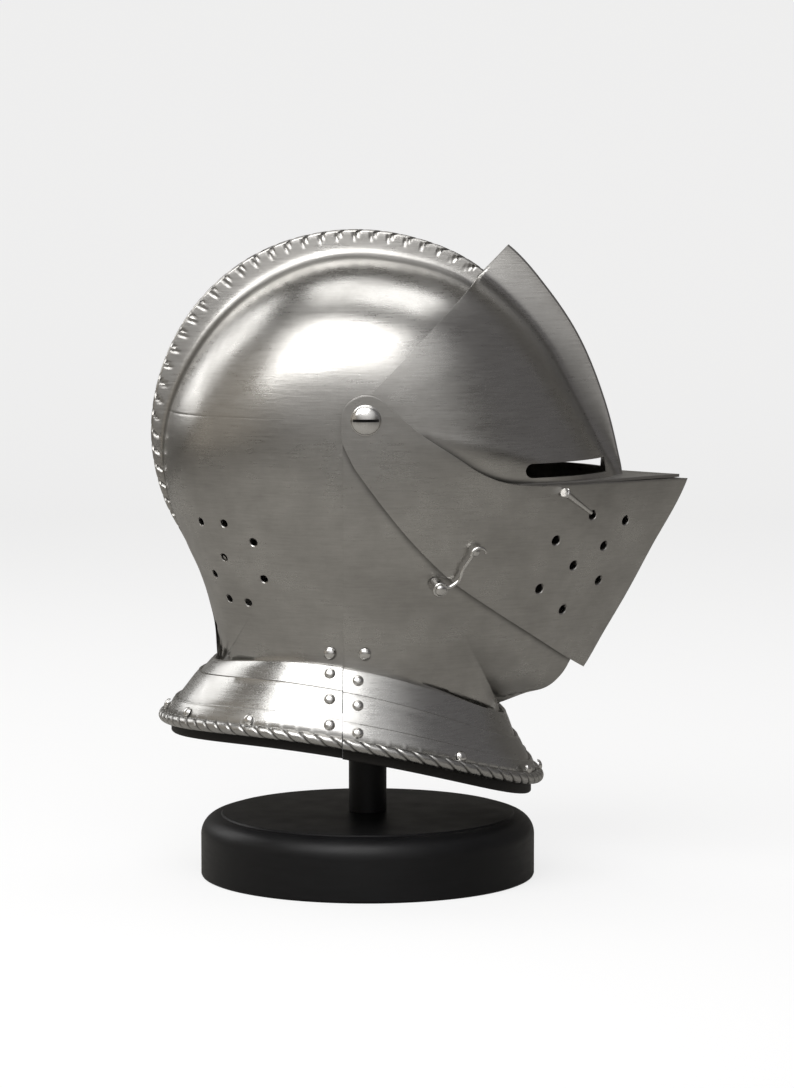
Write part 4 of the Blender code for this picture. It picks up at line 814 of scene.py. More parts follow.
def visor_mesh():
    """The visor: a fan from the pivot to its rear edge, its fin and its foot behind the ventail's top."""
    outer_face, inner_face = plate("visor"), plate("visor", True)
    rear = np.array(VISOR_REAR) * VISOR_REACH
    slope = math.atan2(rear[1, 1] - rear[0, 1], rear[1, 0] - rear[0, 0])
    clear = abs(rear[0, 0] * math.sin(slope) - rear[0, 1] * math.cos(slope))
    rear_angle = math.degrees(slope)
    edge = line_through(VENTAIL_TOP, VENTAIL_REACH) - np.array([0, VISOR_LAP])
    edge = edge[edge[:, 0] > 95 * MM]
    ear_low = -62.0
    from_ear = evenly(np.vstack([arc(INNER_EAR_RADIUS, ear_low, ear_low, 1), edge[:1]]), 60)
    foot_line = np.vstack([from_ear, edge[1:]])
    foot_angles = np.degrees(np.arctan2(foot_line[:, 1], foot_line[:, 0]))
    foot_reach = np.hypot(foot_line[:, 0], foot_line[:, 1])
    radius, _, _, _, _, rise, _, _ = spoke_at(outer_face[0], foot_angles)
    kept = foot_reach < radius + rise
    foot_angles, foot_reach = foot_angles[kept], foot_reach[kept]
    order = np.argsort(foot_angles)
    peak = rear_angle + np.linspace(0.5, 30, 4000)
    radius, _, _, _, _, rise, _, _ = spoke_at(outer_face[0], peak)
    peak_angle = peak[np.argmax(clear / np.sin(np.radians(peak - rear_angle)) < radius + rise)]
    ahead = np.arange(foot_angles.max(), peak_angle, 1.0)
    behind = peak_angle + np.geomspace(0.12, 90 + rear_angle - peak_angle, 70)
    ear = np.arange(rear_angle + 91, 360 + ear_low, 4.0)
    degrees = np.concatenate([ahead, [peak_angle], behind, ear, foot_angles[1:] + 360])
    degrees = np.unique(np.round(degrees, 4))
    degrees = degrees[np.concatenate([[True], np.diff(degrees) > 0.03])]
    closed = degrees <= peak_angle + 1e-4
    turn = np.radians(degrees)[:, None]
    past = (degrees > peak_angle + 1e-4) & (degrees < rear_angle + 90.5)
    off_edge = np.radians(np.clip(degrees - rear_angle, 0.1, 90))
    limit = np.where(past, clear / np.sin(off_edge), INNER_EAR_RADIUS)
    low = degrees > 360 + ear_low
    limit[low] = np.interp(degrees[low] - 360, foot_angles[order], foot_reach[order])
    grids = []
    for face, inner in ((outer_face, False), (inner_face, True)):
        table, _, base = face
        bowl, _, _, _, _, rise, _, _ = spoke_at(table, degrees)
        top = bowl + rise
        end = np.where(closed, top, np.minimum(limit, top))
        stop = np.minimum(bowl, end)
        count, fin_count = (22, 9) if inner else (44, 16)
        crest_half = 0.5 * MM if inner else FIN_CREST / 2
        r = PIVOT_HOLE + (stop - PIVOT_HOLE)[:, None] * np.sin(np.linspace(0, math.pi / 2, count))[None]
        y = half_width(face, r * np.cos(turn), r * np.sin(turn))
        k = np.linspace(0, 1, fin_count + 1)[None, 1:]
        fin_r = stop[:, None] + (end - stop)[:, None] * k
        share = np.clip((fin_r - bowl[:, None]) / np.maximum(top - bowl, 1e-6)[:, None], 0, 1)
        fin_y = base + (crest_half - base) * (1 - (1 - share) ** 1.5)
        fin_y = np.where(stop[:, None] < bowl[:, None] - 1e-7, y[:, -1:], fin_y)
        if not inner:
            r, y = softened(np.concatenate([r, fin_r], 1), np.concatenate([y, fin_y], 1),
                            count - 4, count + 6, 10)
            fin_r, fin_y = r[:, count:], y[:, count:]
            r, y = r[:, :count], y[:, :count]
        bead = 0.45 * crest_half
        caps = [(end + 0.7 * bead, 0.72 * crest_half), (end + bead, 0.0)]
        cap_r = np.stack([np.where(closed, at, end) for at, _ in caps], 1)
        cap_y = np.stack([np.where(closed, wide, fin_y[:, -1]) for _, wide in caps], 1)
        grid = side_points(degrees[:, None], np.concatenate([r, fin_r, cap_r], 1),
                           np.concatenate([y, fin_y, cap_y], 1))
        grids.append(both(grid))
    mesh = finish_edges(shell("visor", *grids, True), VISOR_BEVEL)
    ledge_top = VENTAIL_TOP[4][1] * VENTAIL_REACH + LEDGE_RISE
    mesh = cut(mesh, sight_cutter(ledge_top))
    # Painted shadow on the visor beside the ventail's top edge.
    paint_edge_shadow(mesh, line_through(VENTAIL_TOP[:5], VENTAIL_REACH))
    return shade(joined("visor", [mesh, ledge_mesh(outer_face, ledge_top)]))


def sight_cutter(ledge_top):
    """A long slot with a rounded rear end, carried from side to side."""
    front = VISOR_REACH - SIGHT_INSET
    rear = front - SIGHT_LENGTH
    low = ledge_top + SIGHT_SILL
    high = low + SIGHT_HEIGHT
    half = (high - low) / 2
    turn = np.radians(np.linspace(90, 270, 24))
    round_end = np.stack([rear + half + half * np.cos(turn), low + half + half * np.sin(turn)], 1)
    loop = np.vstack([[front, low], [front, high], round_end])
    count = len(loop)
    far = 0.3
    points = np.stack([np.stack([loop[:, 0], np.full(count, side), loop[:, 1]], 1) for side in (-far, far)])
    index = np.arange(count)
    following = (index + 1) % count
    faces = [np.stack([index, following, following + count, index + count], 1)]
    faces += [[index.tolist()[::-1], (index + count).tolist()]]
    return solid("sights", [points], faces)


def ledge_mesh(visor, top):
    """The ledge under the sights: a level plate from the visor's wall out to the ventail's."""
    ventail = plate("ventail")
    x = np.linspace(VENTAIL_REACH - LEDGE_LENGTH, VENTAIL_REACH - 2 * MM, 90)
    low = top - LEDGE_WALL - LEDGE_RISE
    y = half_width(ventail, x, low + 0 * x)
    rise = (half_width(ventail, x, low + 0.5 * MM + 0 * x) - y) / (0.5 * MM)
    outer = y - (WALL + PLAY) * np.sqrt(1 + np.gradient(y, x) ** 2 + rise**2)
    keep = outer > 0.2 * MM
    x, outer = x[keep], outer[keep]
    tip = x[-1] + outer[-1] * (x[-1] - x[-2]) / max(outer[-2] - outer[-1], 1e-6)
    x, outer = np.append(x, tip), np.append(outer, 0.0)
    radius = spoke_at(visor[0], np.degrees(np.arctan2(top, x)))[0]
    wall = half_width(visor, x, top + 0 * x) - 1.3 * WALL
    inner = np.clip(np.where(np.hypot(x, top) < radius - 1 * MM, wall, 0.0), 0.0, outer)
    edge = 0.4 * MM
    inset = np.minimum(edge, outer - inner)
    rows = [(inner, top), (outer - inset, top), (outer, top - edge), (outer, top - LEDGE_WALL),
            (inner, top - LEDGE_WALL)]
    grid = np.stack([np.stack([x, -across, np.full_like(x, height)], 1) for across, height in rows], 1)
    count = len(rows)
    faces = []
    for start, flip in ((0, False), (len(x) * count, True)):
        faces.append(grid_faces(start, len(x), count, False, flip))
        i = start + np.arange(len(x)) * count
        off = (inner[:-1] > 1e-9) | (inner[1:] > 1e-9)
        faces.append(strip_faces(i + count - 1, i)[off])
        faces.append([[start + k for k in range(count)]])
    return solid("ledge", both(grid), faces)


def band_mesh(name, profile, front, steps, gap=SEAM_GAP):
    """A band round half of the neck, from seam to seam: a closed profile carried round the rings.

    profile(travel) gives level, out, drop and painted shade, each an array over the profile's points.
    """
    limit = SEAM_X + (gap / 2 if front else -gap / 2)
    out = BEVOR_OUT if front else 0.0
    middle = 0.0 if front else math.pi
    travel = np.linspace(-1, 1, steps + 1)[:, None]
    level, offset, drop, dirt = np.broadcast_arrays(*profile(travel), travel * 0)[:4]
    half_turn = np.abs(ring_angle(level, out + offset, limit) - middle)
    grid = ring_point(level, out + offset, drop, middle + half_turn * travel)
    columns, rows = grid.shape[:2]
    closed = np.concatenate([grid, grid[:, :1]], 1)
    dirt = np.concatenate([dirt, dirt[:, :1]], 1).ravel()
    faces = [grid_faces(0, columns, rows + 1)]
    for column in (0, columns - 1):
        faces.append([[column * (rows + 1) + k for k in range(rows)]])
    return solid(name, [closed], faces, dirt=dirt)


def lame_profile(level):
    """The section of a narrow plate, from its rounded top edge down inside the next one, without painted
    shade.
    """
    wall, edge = LAME_WALL, LAME_EDGE
    top = np.array([(0.0, -wall / 2, 0.0), (0.0, -edge, 0.0), (0.0, -0.1 * edge, -0.4 * edge),
                    (0.0, 0.0, -1.3 * edge)])
    runs = np.array([0.25, 0.5, 0.75, 1.0, 1 + LAME_LAP])
    outside = np.stack([runs, -LAME_STEP * runs, 0 * runs], 1)
    inside = outside[::-1] - np.array([0, wall, 0])
    back = np.array([(0.0, -wall, -edge)])
    rows = np.vstack([top, outside, inside, back])

    def profile(travel):
        return level + rows[:, 0], rows[:, 1], rows[:, 2], 0 * rows[:, 0] + 0 * travel

    return profile


def rope_profile(length, pitch, depth, lean):
    """The last lame: a plate whose lower edge is rolled outwards and grooved like a rope.

    The roll is a circle about the rim ring; its radius falls by depth in narrow furrows, where the distance
    along the rim, less the lean times the way round the roll, is a whole number of pitches.
    """
    top, rim = len(RINGS) - 2, len(RINGS) - 1
    edge = LAME_EDGE
    turn = np.radians(np.linspace(128, -135, 24))
    head = [(top, -LAME_WALL / 2, 0, 0), (top, -edge, 0, 0), (top, -0.1 * edge, -0.4 * edge, 0),
            (top, 0, -1.3 * edge, 0)]
    head = np.array(head + [(top + share, 0, 0, 0) for share in (0.15, 0.3, 0.45, 0.6)])
    tail = np.array([(rim, -LAME_WALL - ROPE_ROOT, ROPE_ROOT, 0), (top, -LAME_WALL, -edge, 0)])

    def profile(travel):
        along = travel * length / 2
        shift = lean * (np.degrees(turn) - 20) / 90
        phase = (along + shift) / pitch
        near = np.abs(phase - np.round(phase))
        furrow = depth * (1 - np.clip(near / 0.18, 0, 1) ** 2) ** 2
        radius = ROPE_RADIUS - furrow
        # The fourth entry is painted shade, darkest in the furrows.
        roll = (rim + 0 * phase, radius * np.cos(turn), radius * np.sin(turn), (furrow / depth) ** 2)
        ones = np.ones_like(travel)
        return [np.concatenate([head[:, k] * ones, roll[k], tail[:, k] * ones], 1) for k in range(4)]

    return profile


def lining_profile():
    """The leather band: glued inside the last lame, folded over the roll's inside and hanging below it."""
    rim = len(RINGS) - 1
    inside = -ROPE_RADIUS - 2 * SEAT_GAP
    hem = -LAME_WALL - ROPE_ROOT - SEAT_GAP
    edge = 0.5 * MM
    rows = [(rim - 0.45, hem, 0.0), (rim, inside, 0.0), (rim, inside, -LINING_DROP / 2),
            (rim, inside, -LINING_DROP + edge), (rim, inside - edge, -LINING_DROP),
            (rim, inside - LINING_WALL + edge, -LINING_DROP),
            (rim, inside - LINING_WALL, -LINING_DROP + edge),
            (rim, inside - LINING_WALL, 0.0), (rim - 0.45, hem - LINING_WALL, 0.0)]
    rows = np.array(rows)

    def profile(travel):
        return rows[:, 0] + 0 * travel, rows[:, 1], rows[:, 2], 0 * rows[:, 0] + 0 * travel

    return profile


def node_points(name):
    """The corners of a CAD node's mesh."""
    mesh = frame["nodes"][name].data
    points = np.zeros(len(mesh.vertices) * 3)
    mesh.vertices.foreach_get("co", points)
    return np.unique(np.round(points.reshape(-1, 3), 6), axis=0)


def standing_frame(name, axis=None):
    """A frame on the flat foot of a turned CAD node, Z along its axis outwards, with its size."""
    points = node_points(name)
    if axis is None:
        spread = points - points.mean(0)
        axis = np.linalg.eigh(spread.T @ spread)[1][:, 0]
        away = points.mean(0) - np.array([0.0, 0.0, points.mean(0)[2]])
        if axis @ away < 0:
            axis = -axis
    axis = np.asarray(axis, float)
    axis /= np.linalg.norm(axis)
    heights = points @ axis
    foot = points[heights < heights.min() + 0.1 * MM]
    middle = (foot.min(0) + foot.max(0)) / 2 if len(foot) < 3 else foot.mean(0)
    side = np.cross((0.0, 0.0, 1.0), axis)
    side /= np.linalg.norm(side)
    matrix = np.eye(4)
    matrix[:3, :3] = np.stack([side, np.cross(axis, side), axis], 1)
    matrix[:3, 3] = middle
    radius = np.linalg.norm(np.cross(points - middle, axis), axis=1).max()
    return matrix, radius, heights.max() - heights.min()


def stretched_place(nodes, links, scale):
    """Object coordinates through a Mapping that stretches a pattern."""
    place = nodes.new("ShaderNodeTexCoord")
    mapping = nodes.new("ShaderNodeMapping")
    mapping.inputs["Scale"].default_value = scale
    links.new(place.outputs["Object"], mapping.inputs["Vector"])
    return mapping.outputs["Vector"]


def steel_group():
    """Satin steel: brushed streaks, clouds of tarnish, fine pits, and painted shade from a point attribute,
    rougher there.
    """
    name = "satin_steel"
    if name in bpy.data.node_groups:
        return bpy.data.node_groups[name]
    group = bpy.data.node_groups.new(name, "ShaderNodeTree")
    face = group.interface
    for label, low in (("Light", 0.6), ("Dark", 0.3), ("Roughness", 0.3), ("Brushing", 0.5), ("Clouds", 0.5)):
        kind = "NodeSocketColor" if label in ("Light", "Dark") else "NodeSocketFloat"
        made = face.new_socket(label, in_out="INPUT", socket_type=kind)
        made.default_value = (low, low, low, 1) if kind == "NodeSocketColor" else low
    face.new_socket("Stretch", in_out="INPUT", socket_type="NodeSocketVector")
    for label, kind in (("Color", "Color"), ("Roughness", "Float"), ("Height", "Float")):
        face.new_socket(label, in_out="OUTPUT", socket_type="NodeSocket" + kind)
    nodes, links = group.nodes, group.links
    enter, leave = nodes.new("NodeGroupInput"), nodes.new("NodeGroupOutput")
    place = nodes.new("ShaderNodeTexCoord")
    stretch = nodes.new("ShaderNodeVectorMath")
    stretch.operation = "MULTIPLY"
    links.new(place.outputs["Object"], stretch.inputs[0])
    links.new(enter.outputs["Stretch"], stretch.inputs[1])

    def noise(vector, scale, detail, rough=0.6):
        made = nodes.new("ShaderNodeTexNoise")
        made.inputs["Scale"].default_value = scale
        made.inputs["Detail"].default_value = detail
        made.inputs["Roughness"].default_value = rough
        links.new(vector, made.inputs["Vector"])
        return made.outputs["Fac"]

    def maths(operation, a, b):
        made = nodes.new("ShaderNodeMath")
        made.operation = operation
        for socket, value in zip(made.inputs, (a, b)):
            if hasattr(value, "is_linked"):
                links.new(value, socket)
            else:
                socket.default_value = value
        return made.outputs["Value"]

    def spread(value, low, high, to_low=0.0, to_high=1.0):
        made = nodes.new("ShaderNodeMapRange")
        for label, number in (("From Min", low), ("From Max", high), ("To Min", to_low), ("To Max", to_high)):
            made.inputs[label].default_value = number
        links.new(value, made.inputs["Value"])
        return made.outputs["Result"]

    streaks = noise(stretch.outputs["Vector"], 1.0, 5.0, 0.7)
    clouds = noise(place.outputs["Object"], 28.0, 6.0)
    spots = noise(place.outputs["Object"], 620.0, 3.0)
    pits = noise(place.outputs["Object"], 2400.0, 2.0)
    shade_weight = nodes.new("ShaderNodeAttribute")
    shade_weight.attribute_name = "dirt"
    shade_weight = shade_weight.outputs["Fac"]
    streak = spread(streaks, 0.3, 0.7, -1.0, 1.0)
    cloud = spread(clouds, 0.35, 0.65)
    speck = spread(spots, 0.6, 0.78)
    light = maths("ADD", maths("MULTIPLY", cloud, enter.outputs["Clouds"]),
                  maths("MULTIPLY", maths("MULTIPLY", streak, enter.outputs["Brushing"]), 0.35))
    light = maths("SUBTRACT", maths("ADD", light, maths("SUBTRACT", 1.0, enter.outputs["Clouds"])),
                  maths("MULTIPLY", speck, 0.12))
    blend = nodes.new("ShaderNodeMix")
    blend.data_type = "RGBA"
    links.new(light, blend.inputs["Factor"])
    links.new(enter.outputs["Dark"], blend.inputs["A"])
    links.new(enter.outputs["Light"], blend.inputs["B"])
    # Painted shade: the colour goes towards near black where the attribute is high.
    shade_layer = nodes.new("ShaderNodeMix")
    shade_layer.data_type = "RGBA"
    shade_layer.inputs["B"].default_value = (0.035, 0.032, 0.029, 1)
    links.new(maths("MULTIPLY", shade_weight, 0.92), shade_layer.inputs["Factor"])
    links.new(blend.outputs["Result"], shade_layer.inputs["A"])
    links.new(shade_layer.outputs["Result"], leave.inputs["Color"])
    rough = maths("ADD", enter.outputs["Roughness"], maths("MULTIPLY", maths("SUBTRACT", 0.5, cloud), 0.09))
    rough = maths("ADD", rough, maths("MULTIPLY", maths("MULTIPLY", streak, enter.outputs["Brushing"]), 0.06))
    rough = maths("ADD", rough, maths("MULTIPLY", speck, 0.10))
    rough = maths("ADD", rough, maths("MULTIPLY", shade_weight, 0.3))
    links.new(rough, leave.inputs["Roughness"])
    height = maths("ADD", maths("MULTIPLY", maths("MULTIPLY", streak, enter.outputs["Brushing"]), 0.5),
                   maths("MULTIPLY", pits, 0.35))
    height = maths("ADD", height, maths("MULTIPLY", clouds, 3.0))
    links.new(height, leave.inputs["Height"])
    return group


def steel(name, light, dark, roughness, brushing, clouds, stretch):
    """A steel material of the shared group with its own values."""
    made = bpy.data.materials.new(name)
    made.use_nodes = True
    nodes, links = made.node_tree.nodes, made.node_tree.links
    shader = nodes["Principled BSDF"]
    shader.inputs["Metallic"].default_value = 1.0
    shader.inputs["Anisotropic"].default_value = 0.25
    skin = nodes.new("ShaderNodeGroup")
    skin.node_tree = steel_group()
    skin.inputs["Light"].default_value = (*light, 1)
    skin.inputs["Dark"].default_value = (*dark, 1)
    skin.inputs["Roughness"].default_value = roughness
    skin.inputs["Brushing"].default_value = brushing
    skin.inputs["Clouds"].default_value = clouds
    skin.inputs["Stretch"].default_value = stretch
    bump_node = nodes.new("ShaderNodeBump")
    bump_node.inputs["Strength"].default_value = 0.12
    bump_node.inputs["Distance"].default_value = 0.0004
    links.new(skin.outputs["Color"], shader.inputs["Base Color"])
    links.new(skin.outputs["Roughness"], shader.inputs["Roughness"])
    links.new(skin.outputs["Height"], bump_node.inputs["Height"])
    links.new(bump_node.outputs["Normal"], shader.inputs["Normal"])
    return made


def dark_finish(name, colour, roughness, grain_scale, bump, stretch):
    """A dark painted or leather finish with a fine grain."""
    made = bpy.data.materials.new(name)
    made.use_nodes = True
    nodes, links = made.node_tree.nodes, made.node_tree.links
    shader = nodes["Principled BSDF"]
    shader.inputs["Specular IOR Level"].default_value = 0.22
    grain = nodes.new("ShaderNodeTexNoise")
    grain.inputs["Scale"].default_value = grain_scale
    grain.inputs["Detail"].default_value = 6.0
    links.new(stretched_place(nodes, links, stretch), grain.inputs["Vector"])
    ramp = nodes.new("ShaderNodeMapRange")
    ramp.inputs["To Min"].default_value = roughness - 0.08
    ramp.inputs["To Max"].default_value = roughness + 0.10
    links.new(grain.outputs["Fac"], ramp.inputs["Value"])
    links.new(ramp.outputs["Result"], shader.inputs["Roughness"])
    tint = nodes.new("ShaderNodeMix")
    tint.data_type = "RGBA"
    tint.inputs["A"].default_value = (*[0.75 * c for c in colour], 1)
    tint.inputs["B"].default_value = (*[1.35 * c for c in colour], 1)
    links.new(grain.outputs["Fac"], tint.inputs["Factor"])
    links.new(tint.outputs["Result"], shader.inputs["Base Color"])
    bump_node = nodes.new("ShaderNodeBump")
    bump_node.inputs["Strength"].default_value = bump
    bump_node.inputs["Distance"].default_value = 0.0003
    links.new(grain.outputs["Fac"], bump_node.inputs["Height"])
    links.new(bump_node.outputs["Normal"], shader.inputs["Normal"])
    return made


class HELMET_finish(bpy.types.PropertyGroup):
    """Colours and finish of the steel, the leather and the stand."""

    plate_light: bpy.props.FloatVectorProperty(
        name="Plate light", description="Clean steel of the large plates", subtype="COLOR",
        default=(0.47, 0.46, 0.44), min=0, max=1)
    plate_dark: bpy.props.FloatVectorProperty(
        name="Plate dark", description="Tarnished steel of the large plates", subtype="COLOR",
        default=(0.30, 0.29, 0.275), min=0, max=1)
    lame_light: bpy.props.FloatVectorProperty(
        name="Lame light", description="Clean steel of the neck lames", subtype="COLOR",
        default=(0.50, 0.495, 0.48), min=0, max=1)
    lame_dark: bpy.props.FloatVectorProperty(
        name="Lame dark", description="Tarnished steel of the neck lames", subtype="COLOR",
        default=(0.32, 0.31, 0.295), min=0, max=1)
    bright: bpy.props.FloatVectorProperty(
        name="Bright steel", description="Rivets, screws, hook and peg", subtype="COLOR",
        default=(0.70, 0.69, 0.67), min=0, max=1)
    # Worn edges rubbed bright, their colour raised near white as a painted highlight that draws thin bright
    # lines.
    edge: bpy.props.FloatVectorProperty(
        name="Worn edges", description="Where the plates' edges are rubbed bright", subtype="COLOR",
        default=(0.93, 0.92, 0.90), min=0, max=1)
    roughness: bpy.props.FloatProperty(
        name="Roughness", description="How satin the plates are", subtype="FACTOR",
        default=0.30, min=0.02, max=1)
    leather: bpy.props.FloatVectorProperty(
        name="Leather", description="The linings", subtype="COLOR",
        default=(0.012, 0.011, 0.010), min=0, max=1)
    paint: bpy.props.FloatVectorProperty(
        name="Stand paint", description="The black stand", subtype="COLOR",
        default=(0.006, 0.006, 0.0065), min=0, max=1)


class HELMET_sizes(bpy.types.PropertyGroup):
    """Sizes of the details."""

    comb_pitch: bpy.props.FloatProperty(
        name="Comb pitch", description="Between two notches of the comb", default=10.6 * MM, unit="LENGTH")
    notch_depth: bpy.props.FloatProperty(
        name="Notch depth", description="Depth of the comb's notches", default=1.9 * MM, unit="LENGTH")
    rope_pitch: bpy.props.FloatProperty(
        name="Rope pitch", description="Between two furrows of the rim", default=9 * MM, unit="LENGTH")
    rope_depth: bpy.props.FloatProperty(
        name="Rope depth", description="Depth of the rim's furrows", default=0.8 * MM, unit="LENGTH")
    rope_lean: bpy.props.FloatProperty(
        name="Rope lean", description="How far a furrow leans in a quarter turn", default=4.4 * MM,
        unit="LENGTH")
    screw_slot: bpy.props.FloatProperty(
        name="Screw slot", description="Width of the pivot screws' slots", default=1.6 * MM, unit="LENGTH")


MATERIALS = {}


def finishes():
    """The materials, made once from the finish properties."""
    if MATERIALS:
        return MATERIALS
    look = bpy.context.scene.helmet_finish
    # Light, dark, roughness, brushing, clouds, and how the brushing is stretched
    level, finer, even = (70.0, 70.0, 900.0), (90.0, 90.0, 1400.0), (300.0, 300.0, 300.0)
    rough, dull = look.roughness, [0.7 * c for c in look.bright]
    for finish, values in (
        ("plate", (look.plate_light, look.plate_dark, rough, 0.55, 0.55, level)),
        ("lame", (look.lame_light, look.lame_dark, rough - 0.02, 0.6, 0.35, finer)),
        # Edge finish: worn bright steel, lightened further as a painted highlight.
        ("edge", (look.edge, look.bright, rough + 0.1, 0.4, 0.3, even)),
        ("bright", (look.bright, dull, 0.2, 0.3, 0.4, even)),
    ):
        MATERIALS[finish] = steel(f"{finish}_steel", *values)
    MATERIALS["leather"] = dark_finish("black_leather", look.leather, 0.55, 900.0, 0.5, (1, 1, 1))
    MATERIALS["paint"] = dark_finish("black_paint", look.paint, 0.42, 60.0, 0.05, (1, 1, 6))
    return MATERIALS


def dressed(piece, finish):
    """Give a piece one of the finishes, unless its mesh has its own."""
    if not any(piece.data.materials):
        piece.data.materials.clear()
        piece.data.materials.append(finishes()[finish])


class HELMET_OT_skull(bpy.types.Operator):
    """Make the skull with its roped comb and vents"""

    bl_idname = "helmet.skull"
    bl_label = "Skull"

    def execute(self, context):
        sizes = context.scene.helmet_sizes
        mesh = skull_mesh(sizes.comb_pitch, sizes.notch_depth)
        holes = drills(VENTS, plate("skull"), SKULL_REACH, VENT_RADIUS)
        mesh = shade(cut(mesh, holes))
        dressed(new_piece("skull_plate", mesh, "helm", "plate_steel", "skull"), "plate")
        return {"FINISHED"}


class HELMET_OT_visor(bpy.types.Operator):
    """Make the visor with its fin, sights and ledge"""

    bl_idname = "helmet.visor"
    bl_label = "Visor"

    def execute(self, context):
        dressed(new_piece("visor_plate", visor_mesh(), "visor", "plate_steel", "visor"), "plate")
        return {"FINISHED"}


class HELMET_OT_ventail(bpy.types.Operator):
    """Make the ventail with its breaths"""

    bl_idname = "helmet.ventail"
    bl_label = "Ventail"

    def execute(self, context):
        dressed(new_piece("ventail_plate", ventail_mesh(), "ventail", "plate_steel", "ventail"), "plate")
        return {"FINISHED"}


class HELMET_OT_bevor(bpy.types.Operator):
    """Make the bevor"""

    bl_idname = "helmet.bevor"
    bl_label = "Bevor"

    def execute(self, context):
        dressed(new_piece("bevor_plate", bevor_mesh(), "bevor", "plate_steel", "bevor"), "plate")
        return {"FINISHED"}


class HELMET_OT_neck(bpy.types.Operator):
    """Make the neck lames, their roped rim and their linings"""

    bl_idname = "helmet.neck"
    bl_label = "Neck lames"

    def execute(self, context):
        sizes = context.scene.helmet_sizes
        rim = RINGS[-1]
        length = math.pi * (rim[2] + (rim[0] - rim[1]) / 2) / 2
        for front, stem, body in ((False, "nape", "helm"), (True, "gorget", "bevor")):
            for level in (1, 2):
                mesh = shade(band_mesh(f"{stem}_lame_{level}", lame_profile(level), front, 120))
                node = f"{stem}_lame_{level}"
                dressed(new_piece(f"{stem}_plate_{level}", mesh, body, "lame_steel", node), "lame")
            rope = rope_profile(length, sizes.rope_pitch, sizes.rope_depth, sizes.rope_lean)
            mesh = shade(band_mesh(f"{stem}_lame_3", rope, front, 520), 60)
            dressed(new_piece(f"{stem}_plate_3", mesh, body, "lame_steel", f"{stem}_lame_3"), "lame")
            mesh = shade(band_mesh(f"{stem}_lining", lining_profile(), front, 120, LINING_GAP))
            dressed(new_piece(f"{stem}_leather", mesh, body, "lining_leather", f"{stem}_lining"), "leather")
        return {"FINISHED"}


class HELMET_OT_rivets(bpy.types.Operator):
    """Make the domed rivet heads"""

    bl_idname = "helmet.rivets"
    bl_label = "Rivets"

    def execute(self, context):
        for name in sorted(frame["nodes"]):
            if "rivet" not in name or name == "hook_rivet":
                continue
            matrix, radius, height = standing_frame(name)
            turn = np.linspace(math.pi / 2, 0, 9)
            dome = np.stack([0.9 * radius * np.cos(turn), height * (0.25 + 0.75 * np.sin(turn))], 1)
            dome[0, 0] = 0.0
            foot = [(radius, 0.12 * height), (radius, 0.0), (0.0, 0.0)]
            mesh = shade(turned(name + "_head", np.vstack([dome, foot]), 28, matrix), 50)
            body = frame["nodes"][name]["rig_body"]
            dressed(new_piece(name + "_head", mesh, body, "bright_steel", name), "bright")
        return {"FINISHED"}


class HELMET_OT_screws(bpy.types.Operator):
    """Make the slotted pivot screws"""

    bl_idname = "helmet.screws"
    bl_label = "Pivot screws"

    def execute(self, context):
        slot_half = context.scene.helmet_sizes.screw_slot / 2
        for side, word in ((-1.0, "right"), (1.0, "left")):
            low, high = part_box(f"pivot_screw_{word}")
            outer = SKULL_HALF_WIDTH + 3 * LAYER + SEAT_GAP
            radius, top = (high.x - low.x) / 2, max(abs(low.y), abs(high.y))
            inner = min(abs(low.y), abs(high.y))
            rise = top - outer
            turn = np.linspace(math.pi / 2, 0, 14)
            dome = np.stack([(radius - 0.3 * MM) * np.cos(turn),
                             outer + 0.9 * MM + (rise - 0.9 * MM) * np.sin(turn)], 1)
            dome[0, 0] = 0.0
            shank = [(radius, outer + 0.7 * MM), (radius, outer + 0.2 * MM), (radius - 0.3 * MM, outer),
                     (3 * MM, outer), (3 * MM, inner + 3 * MM), (6 * MM, inner + 3 * MM), (6 * MM, inner),
                     (0, inner)]
            matrix = np.eye(4)
            matrix[:3, :3] = np.array([[1, 0, 0], [0, 0, side], [0, -side, 0]])
            matrix[:3, 3] = PIVOT
            mesh = turned(f"pivot_screw_{word}", np.vstack([dome, shank]), 64, matrix)
            deep = top - 1.9 * MM
            corner = np.array([[x, y, z] for x in (-0.02, 0.02) for y in (deep, top + 0.01)
                               for z in (-slot_half, slot_half)])
            corner[:, 1] *= side
            quads = np.array([(0, 1, 3, 2), (4, 6, 7, 5), (0, 4, 5, 1), (2, 3, 7, 6), (0, 2, 6, 4),
                              (1, 5, 7, 3)])
            slot = solid("slot", [corner], [quads])
            # The cut gives the slot's walls the black leather finish: painted shade in the slot.
            slot.materials.append(finishes()["leather"])
            mesh.materials.append(finishes()["bright"])
            mesh = shade(cut(mesh, slot))
            piece = new_piece(f"pivot_screw_{word}_head", mesh, "helm", "bright_steel", f"pivot_screw_{word}")
            dressed(piece, "bright")
        return {"FINISHED"}


